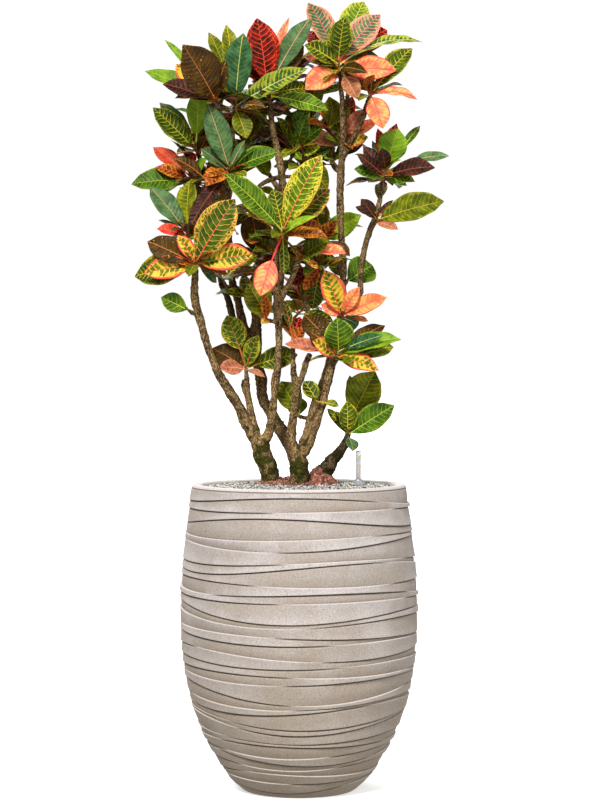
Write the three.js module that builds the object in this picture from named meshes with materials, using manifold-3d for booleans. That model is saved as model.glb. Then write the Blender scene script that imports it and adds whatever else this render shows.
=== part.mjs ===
// Potted croton: a plant with bare forked trunks and rosettes of patterned leaves, in a tall round
// cast-stone pot with a wavy banded outside, topped up with mineral granulate, with a water gauge.
// Millimetres, +Z up. The origin is the centre of the pot's flat foot.

import * as THREE from "three";
import Module from "manifold-3d";

const wasm = await Module();
wasm.setup();

// ---------------------------------------------------------------- driving dimensions

const GAP = 0.3; // between pieces that touch
const EYE = { x: 2, y: -4700, z: 870 }; // the point that places on the plant are sighted from

// Pot: outline as [height, radius], and the heights at which one band ends and the next begins.
const POT = {
  height: 610,
  outline: [
    [0, 112], [18, 133], [54, 159], [126, 197], [200, 221], [300, 235], [396, 236], [504, 227], [610, 214],
  ],
  wall: 20,
  floor: 24,
  floorInset: 10, // how much narrower the inside's floor is than the wall's inside
  rimBevel: [3, 4], // width and height
  insideHeights: [40, 120, 280],
  sides: 26,
  edges: [586, 567, 541, 516, 499, 469, 458, 427, 406, 393, 365, 353, 327, 315, 290, 271, 254, 240, 214, 196,
    186, 160, 151, 128, 115, 99, 84, 73, 51, 38, 23],
  modelled: 2, // every second edge is a step in this solid; the others are finer and belong to its surface
  wave: 6, // how far all edges rise and fall together
  turning: 90, // height over which that wave moves round the pot by one radian
  swell: [0.42, 0.2], // how much a band's height changes, twice and once round, as shares of it
  turn: 2.4, // how far at most, in radians, an edge's phase is from the opposite of its neighbour's
  proud: 2.2, // how far a band stands out over its lower edge, or lies behind it
  lean: 0.3, // how much more often the band above an edge is the one that stands proud
  step: 1.2, // height of the step from one band to the next
  seed: 11,
};

// Fill: granulate up to just under the rim, crowned towards the root ball's mound.
const FILL = { rim: 602, crown: 609, shoulder: 5, bank: 30, ledge: 20, core: 20 };
const ROOT_BALL = { bottom: 330, radius: 84, edge: 607, sides: 16, taper: 8, taperHeight: 60, brow: 4 };
const MOUND = { rings: [0.94, 0.72, 0.46, 0.16], steep: 1.2, sunk: 2 };
const ABOVE = 700; // a height above the fill, up to which what is cut from it reaches
// Lumps of the mound: [x, y, height, radius]
const LUMPS = [
  [-50, -8, 24, 32], [0, -20, 20, 36], [42, 2, 42, 32], [-16, 44, 18, 34], [34, 42, 16, 28], [0, -56, 10, 26],
];

// Water gauge: an upright tube with a float rod in it, in a sleeve with a clear cone on top.
const GAUGE = {
  x: 118,
  y: -40,
  bottom: 200,
  sleeve: 9,
  bore: 5.3,
  coneBase: 609,
  coneTop: 622,
  coneRadius: 15.5,
  coneEdge: 2, // height of the cone's upright edge
  coneSeat: 2, // room round the cone in the granulate
  coneNeck: 7.5,
  seat: 6, // thickness of the sleeve's floor
  tube: 5,
  tubeBore: 4,
  tubeTop: 678,
  tubeCap: 3,
  bevel: 1,
  rod: 1.5,
  tip: 3,
  tipFrom: 618,
  tipTo: 629,
  float: 30, // length of the float at the rod's foot
  sides: 10,
};

// Stems, as [x, z, depth, radius] along each branch: x and z where it is seen on the upright plane
// through the pot's axis, depth its true distance behind that plane, or before it if negative.
const STEMS = {
  trunk_left: {
    foot: [[-58, 560, -10, 17], [-58, 622, -10, 20], [-74, 674, -12, 20], [-82, 700, -14, 18]],
    outer: [[-80, 690, -13, 14], [-104, 728, -22, 12], [-118, 762, -34, 11.5], [-137, 792, -46, 11],
      [-162, 834, -60, 9.5], [-183, 886, -74, 7.5], [-197, 936, -84, 8.5], [-208, 978, -90, 9.5],
      [-208, 1012, -94, 7.5], [-208, 1044, -96, 6.8], [-212, 1072, -88, 5.5], [-218, 1094, -80, 5]],
    outer_spur: [[-208, 1032, -95, 5.5], [-207, 1040, -112, 5]],
    outer_leaf_spur: [[-206, 948, -86, 4], [-213, 952, -99, 3.4]],
    inner: [[-84, 692, -8, 12], [-90, 728, 0, 8], [-99, 768, 6, 6.5], [-104, 806, 8, 6.2],
      [-105, 824, 7, 5.5]],
    inner_stub: [[-102, 778, 8, 5], [-111, 800, 15, 4.6], [-111, 820, 18, 4]],
    right: [[-74, 688, -14, 13], [-60, 714, -18, 9], [-55, 738, -20, 9], [-50, 778, -22, 8],
      [-47, 818, -26, 9.5], [-42, 848, -28, 7.8], [-40, 918, -32, 7.8], [-42, 948, -34, 9],
      [-43, 974, -34, 12]],
    right_leaf_spur: [[-42, 934, -33, 4.5], [-56, 936, -44, 4]],
    right_arm: [[-42, 968, -34, 8.5], [-28, 996, -42, 6.5], [-14, 1022, -48, 6], [-1, 1052, -54, 5]],
    star_arm: [[-43, 972, -36, 9], [-45, 1008, -48, 7.5], [-47, 1040, -58, 7], [-42, 1074, -68, 6],
      [-39, 1086, -70, 5.5]],
    tall: [[-42, 974, -30, 10], [-36, 1042, -10, 8.5], [-28, 1112, 2, 8.5], [-26, 1172, 4, 8.5],
      [-32, 1206, 4, 9], [-36, 1240, 2, 8], [-44, 1280, -2, 7], [-52, 1318, -6, 6.5],
      [-57, 1356, -10, 5.5]],
    tall_stub: [[-32, 1224, 2, 5.5], [-58, 1218, -10, 5], [-82, 1204, -18, 4.2]],
    back_top: [[-44, 1276, -2, 5.5], [-49, 1312, 52, 5], [-56, 1352, 102, 4.5], [-58, 1372, 122, 4]],
    back_middle: [[-28, 1176, 4, 5.5], [-52, 1216, 60, 5], [-72, 1248, 110, 4.5], [-80, 1262, 128, 4]],
    inner_spur: [[-34, 1232, 2, 5.5], [-22, 1250, 18, 4.8], [-14, 1264, 26, 4.2]],
  },
  trunk_back: {
    foot: [[2, 560, 41, 14], [0, 622, 42, 15], [-5, 652, 44, 14.5], [-18, 684, 48, 13.5],
      [-46, 734, 54, 13], [-70, 778, 56, 12], [-76, 820, 58, 12.5], [-84, 866, 60, 12],
      [-85, 914, 60, 12], [-85, 950, 60, 11], [-88, 1000, 62, 9.5], [-88, 1034, 62, 7.5],
      [-84, 1050, 60, 7]],
    left: [[-86, 880, 60, 9], [-104, 908, 58, 9.5], [-116, 948, 56, 9.5], [-122, 978, 54, 8.5],
      [-132, 1008, 50, 8], [-138, 1060, 40, 7.5], [-142, 1120, 28, 7.5], [-146, 1170, 16, 8],
      [-141, 1212, 4, 7.5], [-137, 1258, -4, 6], [-133, 1300, -14, 5.5], [-130, 1336, -22, 5]],
    left_spur: [[-141, 1216, 2, 5.5], [-140, 1226, -18, 5]],
    high_spur: [[-134, 1290, -12, 5], [-146, 1328, -28, 4.5], [-160, 1360, -44, 4]],
    far_left: [[-100, 898, 58, 8], [-128, 932, 66, 7], [-142, 980, 74, 6.5], [-156, 1012, 76, 6],
      [-164, 1060, 74, 6], [-170, 1110, 66, 6], [-176, 1160, 50, 6], [-190, 1186, 36, 5.6],
      [-202, 1204, 24, 5]],
    far_left_up: [[-176, 1158, 50, 5], [-182, 1200, 52, 4.5], [-190, 1240, 40, 4.2], [-198, 1260, 22, 4]],
    back_left: [[-136, 1052, 42, 5.5], [-142, 1092, 92, 5], [-148, 1120, 134, 4.5]],
    back_high: [[-141, 1206, 6, 5.5], [-152, 1246, 66, 5], [-166, 1286, 118, 4.5]],
    back_low: [[-86, 976, 61, 5.5], [-70, 1006, 104, 5], [-58, 1026, 136, 4.5]],
    inner_spur: [[-140, 1236, 0, 5], [-122, 1260, 30, 4.6], [-108, 1280, 48, 4.2]],
  },
  trunk_middle: {
    foot: [[0, 560, -30, 17], [0, 622, -30, 20], [-2, 660, -30, 20], [-2, 680, -30, 18]],
    left: [[-4, 668, -30, 13], [-14, 696, -34, 10.5], [-13, 730, -38, 9.5], [-8, 766, -40, 9],
      [-4, 800, -42, 9], [-9, 820, -42, 7], [-12, 858, -38, 6], [-12, 886, -32, 5.2]],
    left_stub: [[-4, 800, -42, 7], [6, 824, -46, 6.5], [14, 852, -52, 6.5], [22, 870, -58, 6]],
    tall: [[4, 670, -26, 13], [12, 692, -18, 12], [20, 722, -4, 11], [30, 758, 10, 10.5],
      [38, 788, 22, 10], [54, 828, 34, 10], [72, 890, 38, 9], [84, 950, 36, 8.5], [88, 1036, 34, 7.5],
      [84, 1118, 32, 7.5], [82, 1178, 30, 7.5], [84, 1238, 26, 7.2], [88, 1298, 20, 6.6],
      [87, 1358, 14, 5.8], [84, 1402, 10, 5]],
    low_spur: [[26, 744, 4, 4], [12, 742, 6, 3.6], [5, 744, 8, 3.2]],
    front: [[6, 670, -34, 12], [22, 694, -42, 9.5], [34, 728, -50, 8.5], [44, 758, -56, 8],
      [52, 788, -60, 8], [58, 816, -64, 9.5], [64, 838, -66, 9], [68, 848, -66, 7]],
    front_spur: [[46, 764, -57, 4], [40, 770, -68, 3.4]],
    fork: [[88, 1264, 24, 6.5], [100, 1286, 16, 6], [112, 1308, 6, 6], [126, 1338, -4, 5.8],
      [136, 1370, -14, 5.2]],
    far_right: [[56, 832, 34, 8.5], [84, 880, 52, 8], [110, 940, 56, 7.5], [122, 992, 50, 6.5],
      [124, 1036, 44, 6], [130, 1076, 38, 6], [140, 1112, 32, 6.5], [154, 1146, 26, 6],
      [162, 1178, 20, 5.5], [166, 1200, 16, 5]],
    far_right_spur: [[146, 1124, 30, 5], [150, 1130, 12, 4.4]],
    coral_spur: [[80, 922, 37, 5.5], [82, 930, 6, 5], [83, 938, -18, 4.5]],
    brown_spur: [[84, 948, 36, 6], [66, 984, 24, 5.5], [54, 1014, 8, 5], [48, 1032, -2, 4.5]],
    crown_spur: [[86, 1272, 23, 5], [85, 1280, 42, 4.4]],
    low_far_spur: [[87, 1006, 34, 5], [93, 1012, 54, 4]],
    back_right: [[84, 1230, 27, 5.5], [62, 1260, 74, 5], [40, 1290, 118, 4.5], [32, 1306, 134, 4]],
    back_low: [[74, 896, 38, 5.5], [44, 928, 78, 5], [14, 958, 116, 4.5]],
    back_middle: [[86, 1030, 34, 5.5], [66, 1064, 84, 5], [50, 1086, 126, 4.5]],
    back_far: [[156, 1158, 24, 5], [164, 1190, 70, 4.5], [168, 1210, 106, 4]],
    back_crown: [[87, 1326, 17, 5], [94, 1364, 66, 4.5], [98, 1390, 104, 4]],
  },
  trunk_right: {
    foot: [[48, 560, 4, 14], [46, 622, 4, 17], [62, 650, 2, 16], [77, 668, 0, 13], [88, 684, -2, 9.5],
      [96, 702, -2, 7], [102, 726, 0, 6], [106, 742, 2, 5.4]],
    spur: [[95, 696, -2, 5.5], [96, 702, -20, 4.8]],
  },
};
const STEM_SIDES = { foot: 7, branch: 5 };

// Leaf finishes, as the colour that each leafy stem is mostly made of.
const TINTS = {
  gold_rib: 0x33461a, teal: 0x5a8168, rose_net: 0x6f7a2c, ember: 0x6a1d14, bronze: 0x5f4220, coral: 0xf0794f,
  pink_net: 0x7b8a70, lime: 0x8fae1c, coral_edge: 0xd9a04a, olive: 0x5d5a0e, green: 0x4a7428, cream: 0x9db06a,
  grey: 0x6f8a66, rust: 0xa8551c, blush: 0xd58a70, plum: 0x5a3a36,
};

// Leafy stems. twig: [length, lean to the right, lean away] of the stem that the leaves grow from.
// leaves: [tip x, tip z, reach away from the twig, width as seen, tilt, arch, stalk, finish], lowest
// first. tilt: degrees that the upper face is turned up, away from the one who looks at it. arch and
// stalk: shares of the leaf's length.
// more: leaves placed by rule, as [count, first bearing, last bearing, length, finishes].
// Bearings are seen from above: 0 is to the right and 90 straight back.
const SHOOTS = {
  crown_right: { on: ["trunk_middle", "tall"], twig: [58, -0.12, 0], leaves: [
    [12, 1398, -30, 50, 20, 0.06, 0.1, "coral"], [194, 1438, -46, 50, 15, 0.06, 0.12, "coral"],
    [118, 1378, -62, 36, 10, 0.05, 0.3, "blush"], [136, 1432, -74, 24, 20, 0.1, 0.12, "bronze"],
    [110, 1398, 26, 30, 20, 0.05, 0.2, "gold_rib"], [10, 1464, 20, 28, 30, 0.08, 0.2, "coral"],
    [26, 1450, -16, 18, 40, 0.1, 0.12, "olive"], [248, 1494, 14, 22, 50, 0.14, 0.12, "cream"],
    [160, 1466, 40, 30, 35, 0.08, 0.12, "olive"], [12, 1488, 8, 42, 25, 0.06, 0.12, "gold_rib"],
    [14, 1516, 58, 40, 20, 0.06, 0.2, "ember"], [178, 1520, 70, 52, 10, 0.05, 0.2, "ember"],
    [18, 1572, 30, 50, 20, 0.07, 0.15, "pink_net"], [162, 1550, 6, 58, 15, 0.05, 0.12, "pink_net"],
    [90, 1542, -36, 50, 10, 0.06, 0.12, "gold_rib"], [130, 1576, 54, 56, 10, 0.05, 0.15, "lime"]],
    more: [1, 40, 140, 95, ["olive", "gold_rib", "ember"]] },
  crown_fork: { on: ["trunk_middle", "fork"], twig: [26, 0.5, -0.1], leaves: [
    [168, 1320, -30, 46, 10, 0.08, 0.1, "coral"], [238, 1380, -14, 20, 50, 0.12, 0.12, "coral"],
    [146, 1418, -16, 12, 20, 0.05, 0.12, "bronze"], [226, 1482, 10, 44, 20, 0.05, 0.12, "olive"]] },
  crown_side: { on: ["trunk_middle", "crown_spur"], twig: [16, -0.2, 0.5], leaves: [
    [4, 1306, -26, 32, 30, 0.05, 0.12, "blush"], [138, 1304, -14, 28, 20, 0.06, 0.12, "coral_edge"],
    [128, 1360, -10, 32, 20, 0.06, 0.2, "blush"], [60, 1384, 0, 44, 15, 0.05, 0.1, "olive"],
    [106, 1386, 14, 30, 15, 0.05, 0.2, "ember"], [156, 1338, 10, 24, 20, 0.05, 0.3, "coral"]] },
  crown_middle: { on: ["trunk_left", "tall"], twig: [48, -0.15, 0], leaves: [
    [58, 1356, -34, 36, 35, 0.05, 0.15, "green"], [16, 1400, 14, 38, 30, 0.06, 0.15, "gold_rib"],
    [-118, 1506, 44, 60, 15, 0.05, 0.12, "ember"], [10, 1486, 20, 40, 15, 0.06, 0.15, "bronze"],
    [24, 1544, 46, 42, 15, 0.07, 0.2, "grey"], [-20, 1544, 60, 18, 20, 0.04, 0.2, "coral"],
    [-84, 1540, 0, 66, 15, 0.06, 0.12, "ember"]],
    more: [2, 40, 140, 90, ["ember", "olive", "gold_rib"]] },
  crown_left: { on: ["trunk_back", "left"], twig: [38, 0.1, -0.1], leaves: [
    [-104, 1300, -30, 38, 15, 0.06, 0.15, "olive"], [-66, 1364, -48, 24, 40, 0.1, 0.1, "bronze"],
    [-178, 1434, -22, 28, 50, 0.08, 0.1, "lime"], [18, 1440, -40, 40, 25, 0.05, 0.08, "cream"],
    [-180, 1514, 66, 34, 25, 0.06, 0.15, "olive"], [-144, 1530, 38, 36, 15, 0.04, 0.2, "cream"],
    [-112, 1512, -14, 56, 10, 0.05, 0.08, "teal"]],
    more: [2, 60, 160, 90, ["olive", "ember", "green"]] },
  upper_left: { on: ["trunk_back", "high_spur"], twig: [24, -0.3, -0.1], leaves: [
    [-272, 1410, -14, 36, 30, 0.06, 0.15, "ember"], [-308, 1436, 6, 34, 30, 0.05, 0.2, "lime"],
    [-246, 1450, 22, 50, 20, 0.05, 0.15, "coral_edge"], [-146, 1456, 20, 34, 15, 0.05, 0.15, "ember"],
    [-268, 1498, 50, 16, 20, 0.05, 0.3, "lime"], [-232, 1487, -26, 78, 15, 0.06, 0.08, "bronze"]] },
  far_left_upper: { on: ["trunk_back", "far_left_up"], twig: [26, -0.2, -0.3], leaves: [
    [-222, 1240, -10, 18, 20, 0.05, 0.15, "ember"], [-292, 1362, -12, 46, 20, 0.05, 0.12, "green"],
    [-278, 1376, 26, 32, 25, 0.05, 0.15, "grey"], [-192, 1336, 24, 26, 15, 0.05, 0.15, "ember"],
    [-198, 1402, -34, 42, 10, 0.04, 0.25, "lime"]],
    more: [2, 60, 170, 90, ["olive", "green", "rust"]] },
  far_left: { on: ["trunk_back", "far_left"], twig: [24, -0.3, -0.3], leaves: [
    [-335, 1210, -20, 46, 35, 0.05, 0.12, "green"],
    [-288, 1244, -14, 26, 30, 0.06, 0.2, "rust"], [-292, 1284, 6, 32, 20, 0.06, 0.2, "coral"],
    [-184, 1262, -22, 20, 40, 0.04, 0.15, "lime"]],
    more: [2, 70, 180, 90, ["green", "olive", "rust"]] },
  left_star: { on: ["trunk_back", "left_spur"], twig: [24, 0, -0.5], leaves: [
    [-222, 1116, -44, 34, 20, 0.08, 0.1, "ember"],
    [-186, 1206, -26, 36, 30, 0.1, 0.1, "rust"], [-196, 1280, -10, 32, 30, 0.05, 0.15, "grey"],
    [-40, 1274, -12, 40, 30, 0.05, 0.15, "green"], [-98, 1274, 20, 24, 20, 0.05, 0.15, "ember"],
    [-108, 1296, -14, 18, 20, 0.04, 0.12, "grey"], [-182, 1370, 0, 50, 10, 0.05, 0.08, "grey"]] },
  outer_top: { on: ["trunk_left", "outer"], twig: [22, -0.1, -0.2], leaves: [
    [-284, 1120, -18, 24, 30, 0.08, 0.15, "coral"], [-162, 1150, 8, 36, 25, 0.06, 0.12, "coral"],
    [-298, 1204, 30, 42, 25, 0.05, 0.15, "grey"], [-282, 1138, 26, 8, 20, 0.12, 0.2, "grey"],
    [-218, 1220, -16, 42, 35, 0.04, 0.08, "lime"]] },
  outer_star: { on: ["trunk_left", "outer_spur"], twig: [22, 0, -0.4], leaves: [
    [-330, 1026, 18, 60, 20, 0.02, 0.1, "gold_rib"], [-310, 1032, -14, 46, 15, 0.05, 0.08, "coral_edge"],
    [-164, 1012, 26, 18, 30, 0.05, 0.2, "grey"], [-92, 1070, -24, 52, 15, 0.05, 0.1, "coral_edge"],
    [-304, 1096, 16, 52, 15, 0.05, 0.15, "bronze"], [-242, 1108, -8, 28, 20, 0.04, 0.12, "coral_edge"],
    [-128, 1180, -4, 72, 10, 0.05, 0.06, "rose_net"]] },
  single_leaf: { on: ["trunk_left", "outer_leaf_spur"], twig: [9, -0.6, -0.2], leaves: [
    [-276, 984, -6, 38, 15, 0.03, 0.16, "green"]] },
  middle_star: { on: ["trunk_left", "star_arm"], twig: [34, 0.1, -0.2], leaves: [
    [-78, 986, -42, 48, 10, 0.06, 0.45, "coral"], [-30, 1028, -6, 20, 20, 0.04, 0.2, "gold_rib"],
    [58, 1104, -42, 24, 45, 0.06, 0.08, "rust"], [34, 1146, -52, 15, 30, 0.12, 0.08, "lime"],
    [46, 1128, 24, 28, 35, 0.06, 0.15, "rust"], [-120, 1166, -34, 24, 60, 0.05, 0.15, "coral_edge"],
    [62, 1202, 22, 54, 20, 0.05, 0.12, "bronze"], [-150, 1232, -4, 46, 30, 0.04, 0.1, "green"],
    [-52, 1200, 22, 42, 10, 0.05, 0.12, "gold_rib"], [44, 1270, -16, 60, 15, 0.05, 0.08, "rose_net"]] },
  middle_back: { on: ["trunk_back", "foot"], twig: [24, 0.2, -0.2], leaves: [
    [-146, 1084, 0, 20, 40, 0.05, 0.3, "coral_edge"], [-34, 1046, 0, 30, 20, 0.05, 0.2, "ember"],
    [-96, 1158, -20, 62, 10, 0.05, 0.1, "bronze"], [-62, 1118, 16, 40, 15, 0.05, 0.1, "olive"]],
    more: [2, 40, 140, 90, ["olive", "bronze", "ember"]] },
  right_arm_star: { on: ["trunk_left", "right_arm"], twig: [16, 0.1, -0.2], leaves: [
    [38, 1040, -18, 14, 40, 0.05, 0.3, "coral_edge"], [32, 1042, 34, 24, 20, 0.04, 0.15, "grey"],
    [94, 1070, -34, 22, 55, 0.08, 0.35, "coral"], [60, 1098, -16, 36, 25, 0.05, 0.08, "olive"]] },
  brown_star: { on: ["trunk_middle", "brown_spur"], twig: [20, 0, -0.3], leaves: [
    [8, 998, -14, 26, 10, 0.06, 0.1, "rust"], [26, 958, 16, 42, 10, 0.05, 0.15, "gold_rib"],
    [-18, 1010, 36, 30, 20, 0.05, 0.2, "ember"], [78, 1054, 20, 22, 30, 0.05, 0.12, "olive"],
    [64, 1066, -14, 24, 30, 0.1, 0.12, "gold_rib"]],
    more: [2, 50, 150, 76, ["olive", "gold_rib"]] },
  coral_star: { on: ["trunk_middle", "coral_spur"], twig: [20, 0, -0.3], leaves: [
    [120, 928, 16, 34, 15, 0.05, 0.15, "teal"], [138, 936, 0, 12, 30, 0.05, 0.5, "coral"],
    [44, 970, -14, 26, 20, 0.06, 0.15, "coral"], [176, 984, -22, 36, 20, 0.06, 0.1, "coral"],
    [120, 1004, -8, 28, 10, 0.04, 0.1, "coral"], [52, 1038, 2, 48, 10, 0.05, 0.1, "coral_edge"]] },
  low_right_star: { on: ["trunk_middle", "front"], twig: [34, 0.15, -0.2], leaves: [
    [160, 838, -42, 34, 20, 0.08, 0.1, "coral_edge"], [27, 896, -26, 34, 30, 0.06, 0.08, "coral_edge"],
    [-28, 890, 12, 26, 50, 0.05, 0.2, "blush"], [190, 884, 22, 42, 20, 0.05, 0.25, "olive"],
    [204, 902, -34, 34, 40, 0.06, 0.08, "lime"], [170, 886, -8, 26, 30, 0.05, 0.15, "gold_rib"],
    [174, 930, 28, 30, 25, 0.06, 0.15, "bronze"], [168, 908, 6, 24, 25, 0.05, 0.2, "teal"],
    [22, 914, 20, 40, 15, 0.05, 0.12, "bronze"], [8, 950, 40, 50, 10, 0.05, 0.15, "bronze"],
    [76, 942, -30, 60, 10, 0.05, 0.08, "gold_rib"]] },
  middle_low: { on: ["trunk_middle", "left"], twig: [14, 0, 0], leaves: [
    [10, 922, -20, 24, 25, 0.06, 0.15, "rust"], [-30, 978, 0, 18, 20, 0.04, 0.35, "rose_net"],
    [-32, 954, 14, 20, 20, 0.05, 0.15, "rust"], [2, 946, 12, 24, 20, 0.05, 0.15, "ember"]],
    more: [2, 60, 150, 70, ["rust", "olive"]] },
  inner_star: { on: ["trunk_left", "inner"], twig: [24, 0, -0.2], leaves: [
    [-68, 824, -30, 12, 40, 0.08, 0.1, "blush"], [-160, 844, -30, 30, 30, 0.06, 0.15, "blush"],
    [-174, 882, -18, 52, 20, 0.08, 0.1, "bronze"], [-2, 870, -26, 46, 20, 0.05, 0.2, "green"],
    [-78, 882, -6, 26, 15, 0.05, 0.1, "bronze"], [-82, 908, -30, 34, 20, 0.05, 0.08, "rose_net"],
    [-144, 948, 4, 50, 10, 0.04, 0.35, "rose_net"]],
    more: [2, 40, 150, 70, ["bronze", "olive", "green"]] },
  side_leaves: { on: ["trunk_left", "right_leaf_spur"], twig: [14, -0.5, -0.3], leaves: [
    [-74, 930, -10, 16, 30, 0.05, 0.15, "coral_edge"], [-102, 1012, -6, 56, 20, 0.05, 0.1, "olive"],
    [-70, 988, -24, 22, 25, 0.05, 0.1, "rust"]] },
  right_end: { on: ["trunk_right", "foot"], twig: [10, 0.2, -0.1], leaves: [
    [152, 836, -12, 72, 10, 0.05, 0.06, "olive"], [102, 828, 14, 26, 20, 0.05, 0.08, "grey"]] },
  right_node: { on: ["trunk_right", "spur"], twig: [18, 0, -0.3], leaves: [
    [108, 676, -30, 22, 40, 0.08, 0.2, "grey"], [56, 762, 4, 18, 25, 0.05, 0.15, "gold_rib"],
    [191, 768, -12, 50, 15, 0.02, 0.1, "green"], [74, 756, 10, 20, 20, 0.05, 0.12, "olive"],
    [96, 776, -2, 38, 15, 0.05, 0.12, "gold_rib"]] },
  front_side: { on: ["trunk_middle", "front_spur"], twig: [8, -0.5, -0.2], leaves: [
    [80, 766, -6, 14, 40, 0.04, 0.35, "olive"], [10, 816, 8, 32, 25, 0.04, 0.15, "gold_rib"]] },
  low_back: { on: ["trunk_middle", "low_spur"], twig: [9, -0.5, 0.1], leaves: [
    [6, 782, 8, 30, 20, 0.04, 0.12, "olive"], [-36, 816, 6, 50, 15, 0.04, 0.12, "olive"]] },
  right_star: { on: ["trunk_middle", "far_right"], twig: [42, 0.1, -0.1], leaves: [
    [224, 1216, -22, 30, 35, 0.06, 0.08, "green"], [110, 1240, -18, 30, 25, 0.05, 0.08, "green"],
    [272, 1244, -16, 36, 30, 0.08, 0.15, "plum"], [118, 1268, -20, 26, 20, 0.04, 0.12, "plum"],
    [146, 1296, 20, 16, 20, 0.04, 0.2, "grey"], [128, 1286, 4, 26, 15, 0.04, 0.12, "plum"],
    [300, 1266, 16, 22, 40, 0.1, 0.45, "grey"], [242, 1326, 24, 18, 20, 0.04, 0.5, "green"],
    [158, 1322, 26, 24, 20, 0.04, 0.15, "ember"], [194, 1332, 30, 28, 20, 0.04, 0.15, "ember"],
    [164, 1282, -34, 28, 15, 0.04, 0.12, "plum"], [198, 1320, -20, 60, 10, 0.04, 0.2, "lime"]],
    more: [1, 30, 130, 80, ["plum", "green", "ember"]] },
  right_side: { on: ["trunk_middle", "far_right_spur"], twig: [22, 0.1, -0.4], leaves: [
    [198, 1120, -34, 20, 30, 0.04, 0.08, "blush"], [290, 1176, -18, 56, 20, 0.05, 0.08, "olive"],
    [188, 1178, 10, 12, 30, 0.04, 0.15, "plum"], [124, 1180, -14, 28, 15, 0.04, 0.1, "plum"],
    [112, 1166, 6, 16, 25, 0.04, 0.12, "plum"]] },
  right_behind: { on: ["trunk_middle", "low_far_spur"], twig: [9, 0.4, 0.2], leaves: [
    [148, 1048, 4, 62, 15, 0.04, 0.1, "green"], [66, 1058, 6, 34, 15, 0.05, 0.2, "gold_rib"]] },
  back_far: { on: ["trunk_middle", "back_far"], twig: [26, 0, 0.3], leaves: [],
    more: [5, 0, 300, 78, ["green", "olive", "lime", "plum"]] },
  back_crown: { on: ["trunk_middle", "back_crown"], twig: [30, 0, 0.3], leaves: [],
    more: [5, -20, 330, 102, ["olive", "ember", "gold_rib", "coral", "pink_net"]] },
  back_right: { on: ["trunk_middle", "back_right"], twig: [30, 0, 0.3], leaves: [],
    more: [5, -10, 320, 107, ["olive", "gold_rib", "green", "rust"]] },
  back_top: { on: ["trunk_left", "back_top"], twig: [30, 0, 0.3], leaves: [],
    more: [5, -20, 330, 107, ["ember", "olive", "teal", "coral", "gold_rib"]] },
  back_middle: { on: ["trunk_left", "back_middle"], twig: [28, 0, 0.3], leaves: [],
    more: [5, 0, 330, 102, ["olive", "bronze", "green", "coral_edge"]] },
  back_high: { on: ["trunk_back", "back_high"], twig: [28, -0.2, 0.3], leaves: [],
    more: [5, 0, 330, 102, ["green", "rust", "lime", "olive"]] },
  back_left: { on: ["trunk_back", "back_left"], twig: [28, -0.2, 0.3], leaves: [],
    more: [5, 0, 330, 102, ["rose_net", "olive", "bronze", "coral"]] },
  back_low: { on: ["trunk_back", "back_low"], twig: [26, 0.1, 0.3], leaves: [],
    more: [5, 0, 320, 80, ["gold_rib", "coral_edge", "olive"]] },
  back_low_right: { on: ["trunk_middle", "back_low"], twig: [26, 0, 0.3], leaves: [],
    more: [5, 0, 330, 92, ["gold_rib", "bronze", "coral", "olive"]] },
  back_centre: { on: ["trunk_middle", "back_middle"], twig: [28, 0, 0.3], leaves: [
    [124, 1148, -46, 48, 10, 0.05, 0.1, "lime"], [70, 1134, -60, 22, 20, 0.04, 0.2, "teal"]],
    more: [5, 0, 330, 102, ["rose_net", "green", "rust", "olive"]] },
  inner_high: { on: ["trunk_left", "inner_spur"], twig: [20, 0.1, 0.1], leaves: [
    [60, 1196, 24, 46, 15, 0.05, 0.12, "olive"], [-74, 1314, 24, 40, 15, 0.05, 0.12, "bronze"],
    [42, 1284, -8, 34, 20, 0.05, 0.12, "gold_rib"], [-30, 1338, 14, 28, 15, 0.05, 0.15, "olive"],
    [38, 1346, 16, 30, 15, 0.05, 0.12, "grey"], [14, 1342, -8, 40, 15, 0.05, 0.12, "green"]] },
  inner_left: { on: ["trunk_back", "inner_spur"], twig: [20, 0.1, 0.2], leaves: [
    [-126, 1216, 10, 36, 20, 0.05, 0.12, "bronze"], [-60, 1224, 16, 34, 20, 0.05, 0.12, "olive"],
    [-40, 1308, 20, 34, 20, 0.05, 0.12, "green"], [-160, 1368, 20, 36, 20, 0.05, 0.12, "rust"],
    [-74, 1374, 24, 38, 15, 0.05, 0.12, "olive"], [-116, 1394, 10, 36, 15, 0.05, 0.12, "bronze"]] },
};

const LEAF = {
  thick: 1, // blade thickness
  fold: 0.22, // how far a blade's edges stand up, as a share of its half width
  stalk: 2.3, // radius of the stalk where the blade begins
  // Where a blade's width is taken, along it, if it is slim, usual or large, and the widths between those.
  slim: [0.5],
  usual: [0.28, 0.7],
  large: [0.2, 0.52, 0.84],
  slimUpTo: 30,
  largeFrom: 48,
  shape: [1.05, 0.65], // powers that set where a blade is widest and how full it is
  clear: 0.45, // free space kept round a leaf
  bladeFrom: 0.25, // share of a leaf past which it doesn't cross its own stem's leaves, where it can
};
// A twig's first share goes on as its branch grew, then it leans and turns up.
const TWIG = {
  root: 4.6, bend: 4.1, tip: 3.6, sides: 4, straight: 0.3, up: 0.6, end: 2,
  firstLeaf: 0.25, past: 1.6, deep: 6,
};
// How a leaf is bent clear of its neighbours: its tip moves this much nearer or farther, or the
// bearing and the rise of a leaf that was placed by rule change by these degrees.
const BEND = {
  depths: [0, -16, 16, -32, 32, -50, 50, -70, 70, -92, 92, -116, 116, -142, 142],
  turns: [[0, 0], [13, 0], [-13, 0], [0, 16], [0, -16], [26, 8], [-26, 8], [26, -10], [-26, -10],
    [40, 0], [-40, 0], [0, 32], [20, 30], [-20, 30], [54, 10], [-54, 10]],
};
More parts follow.
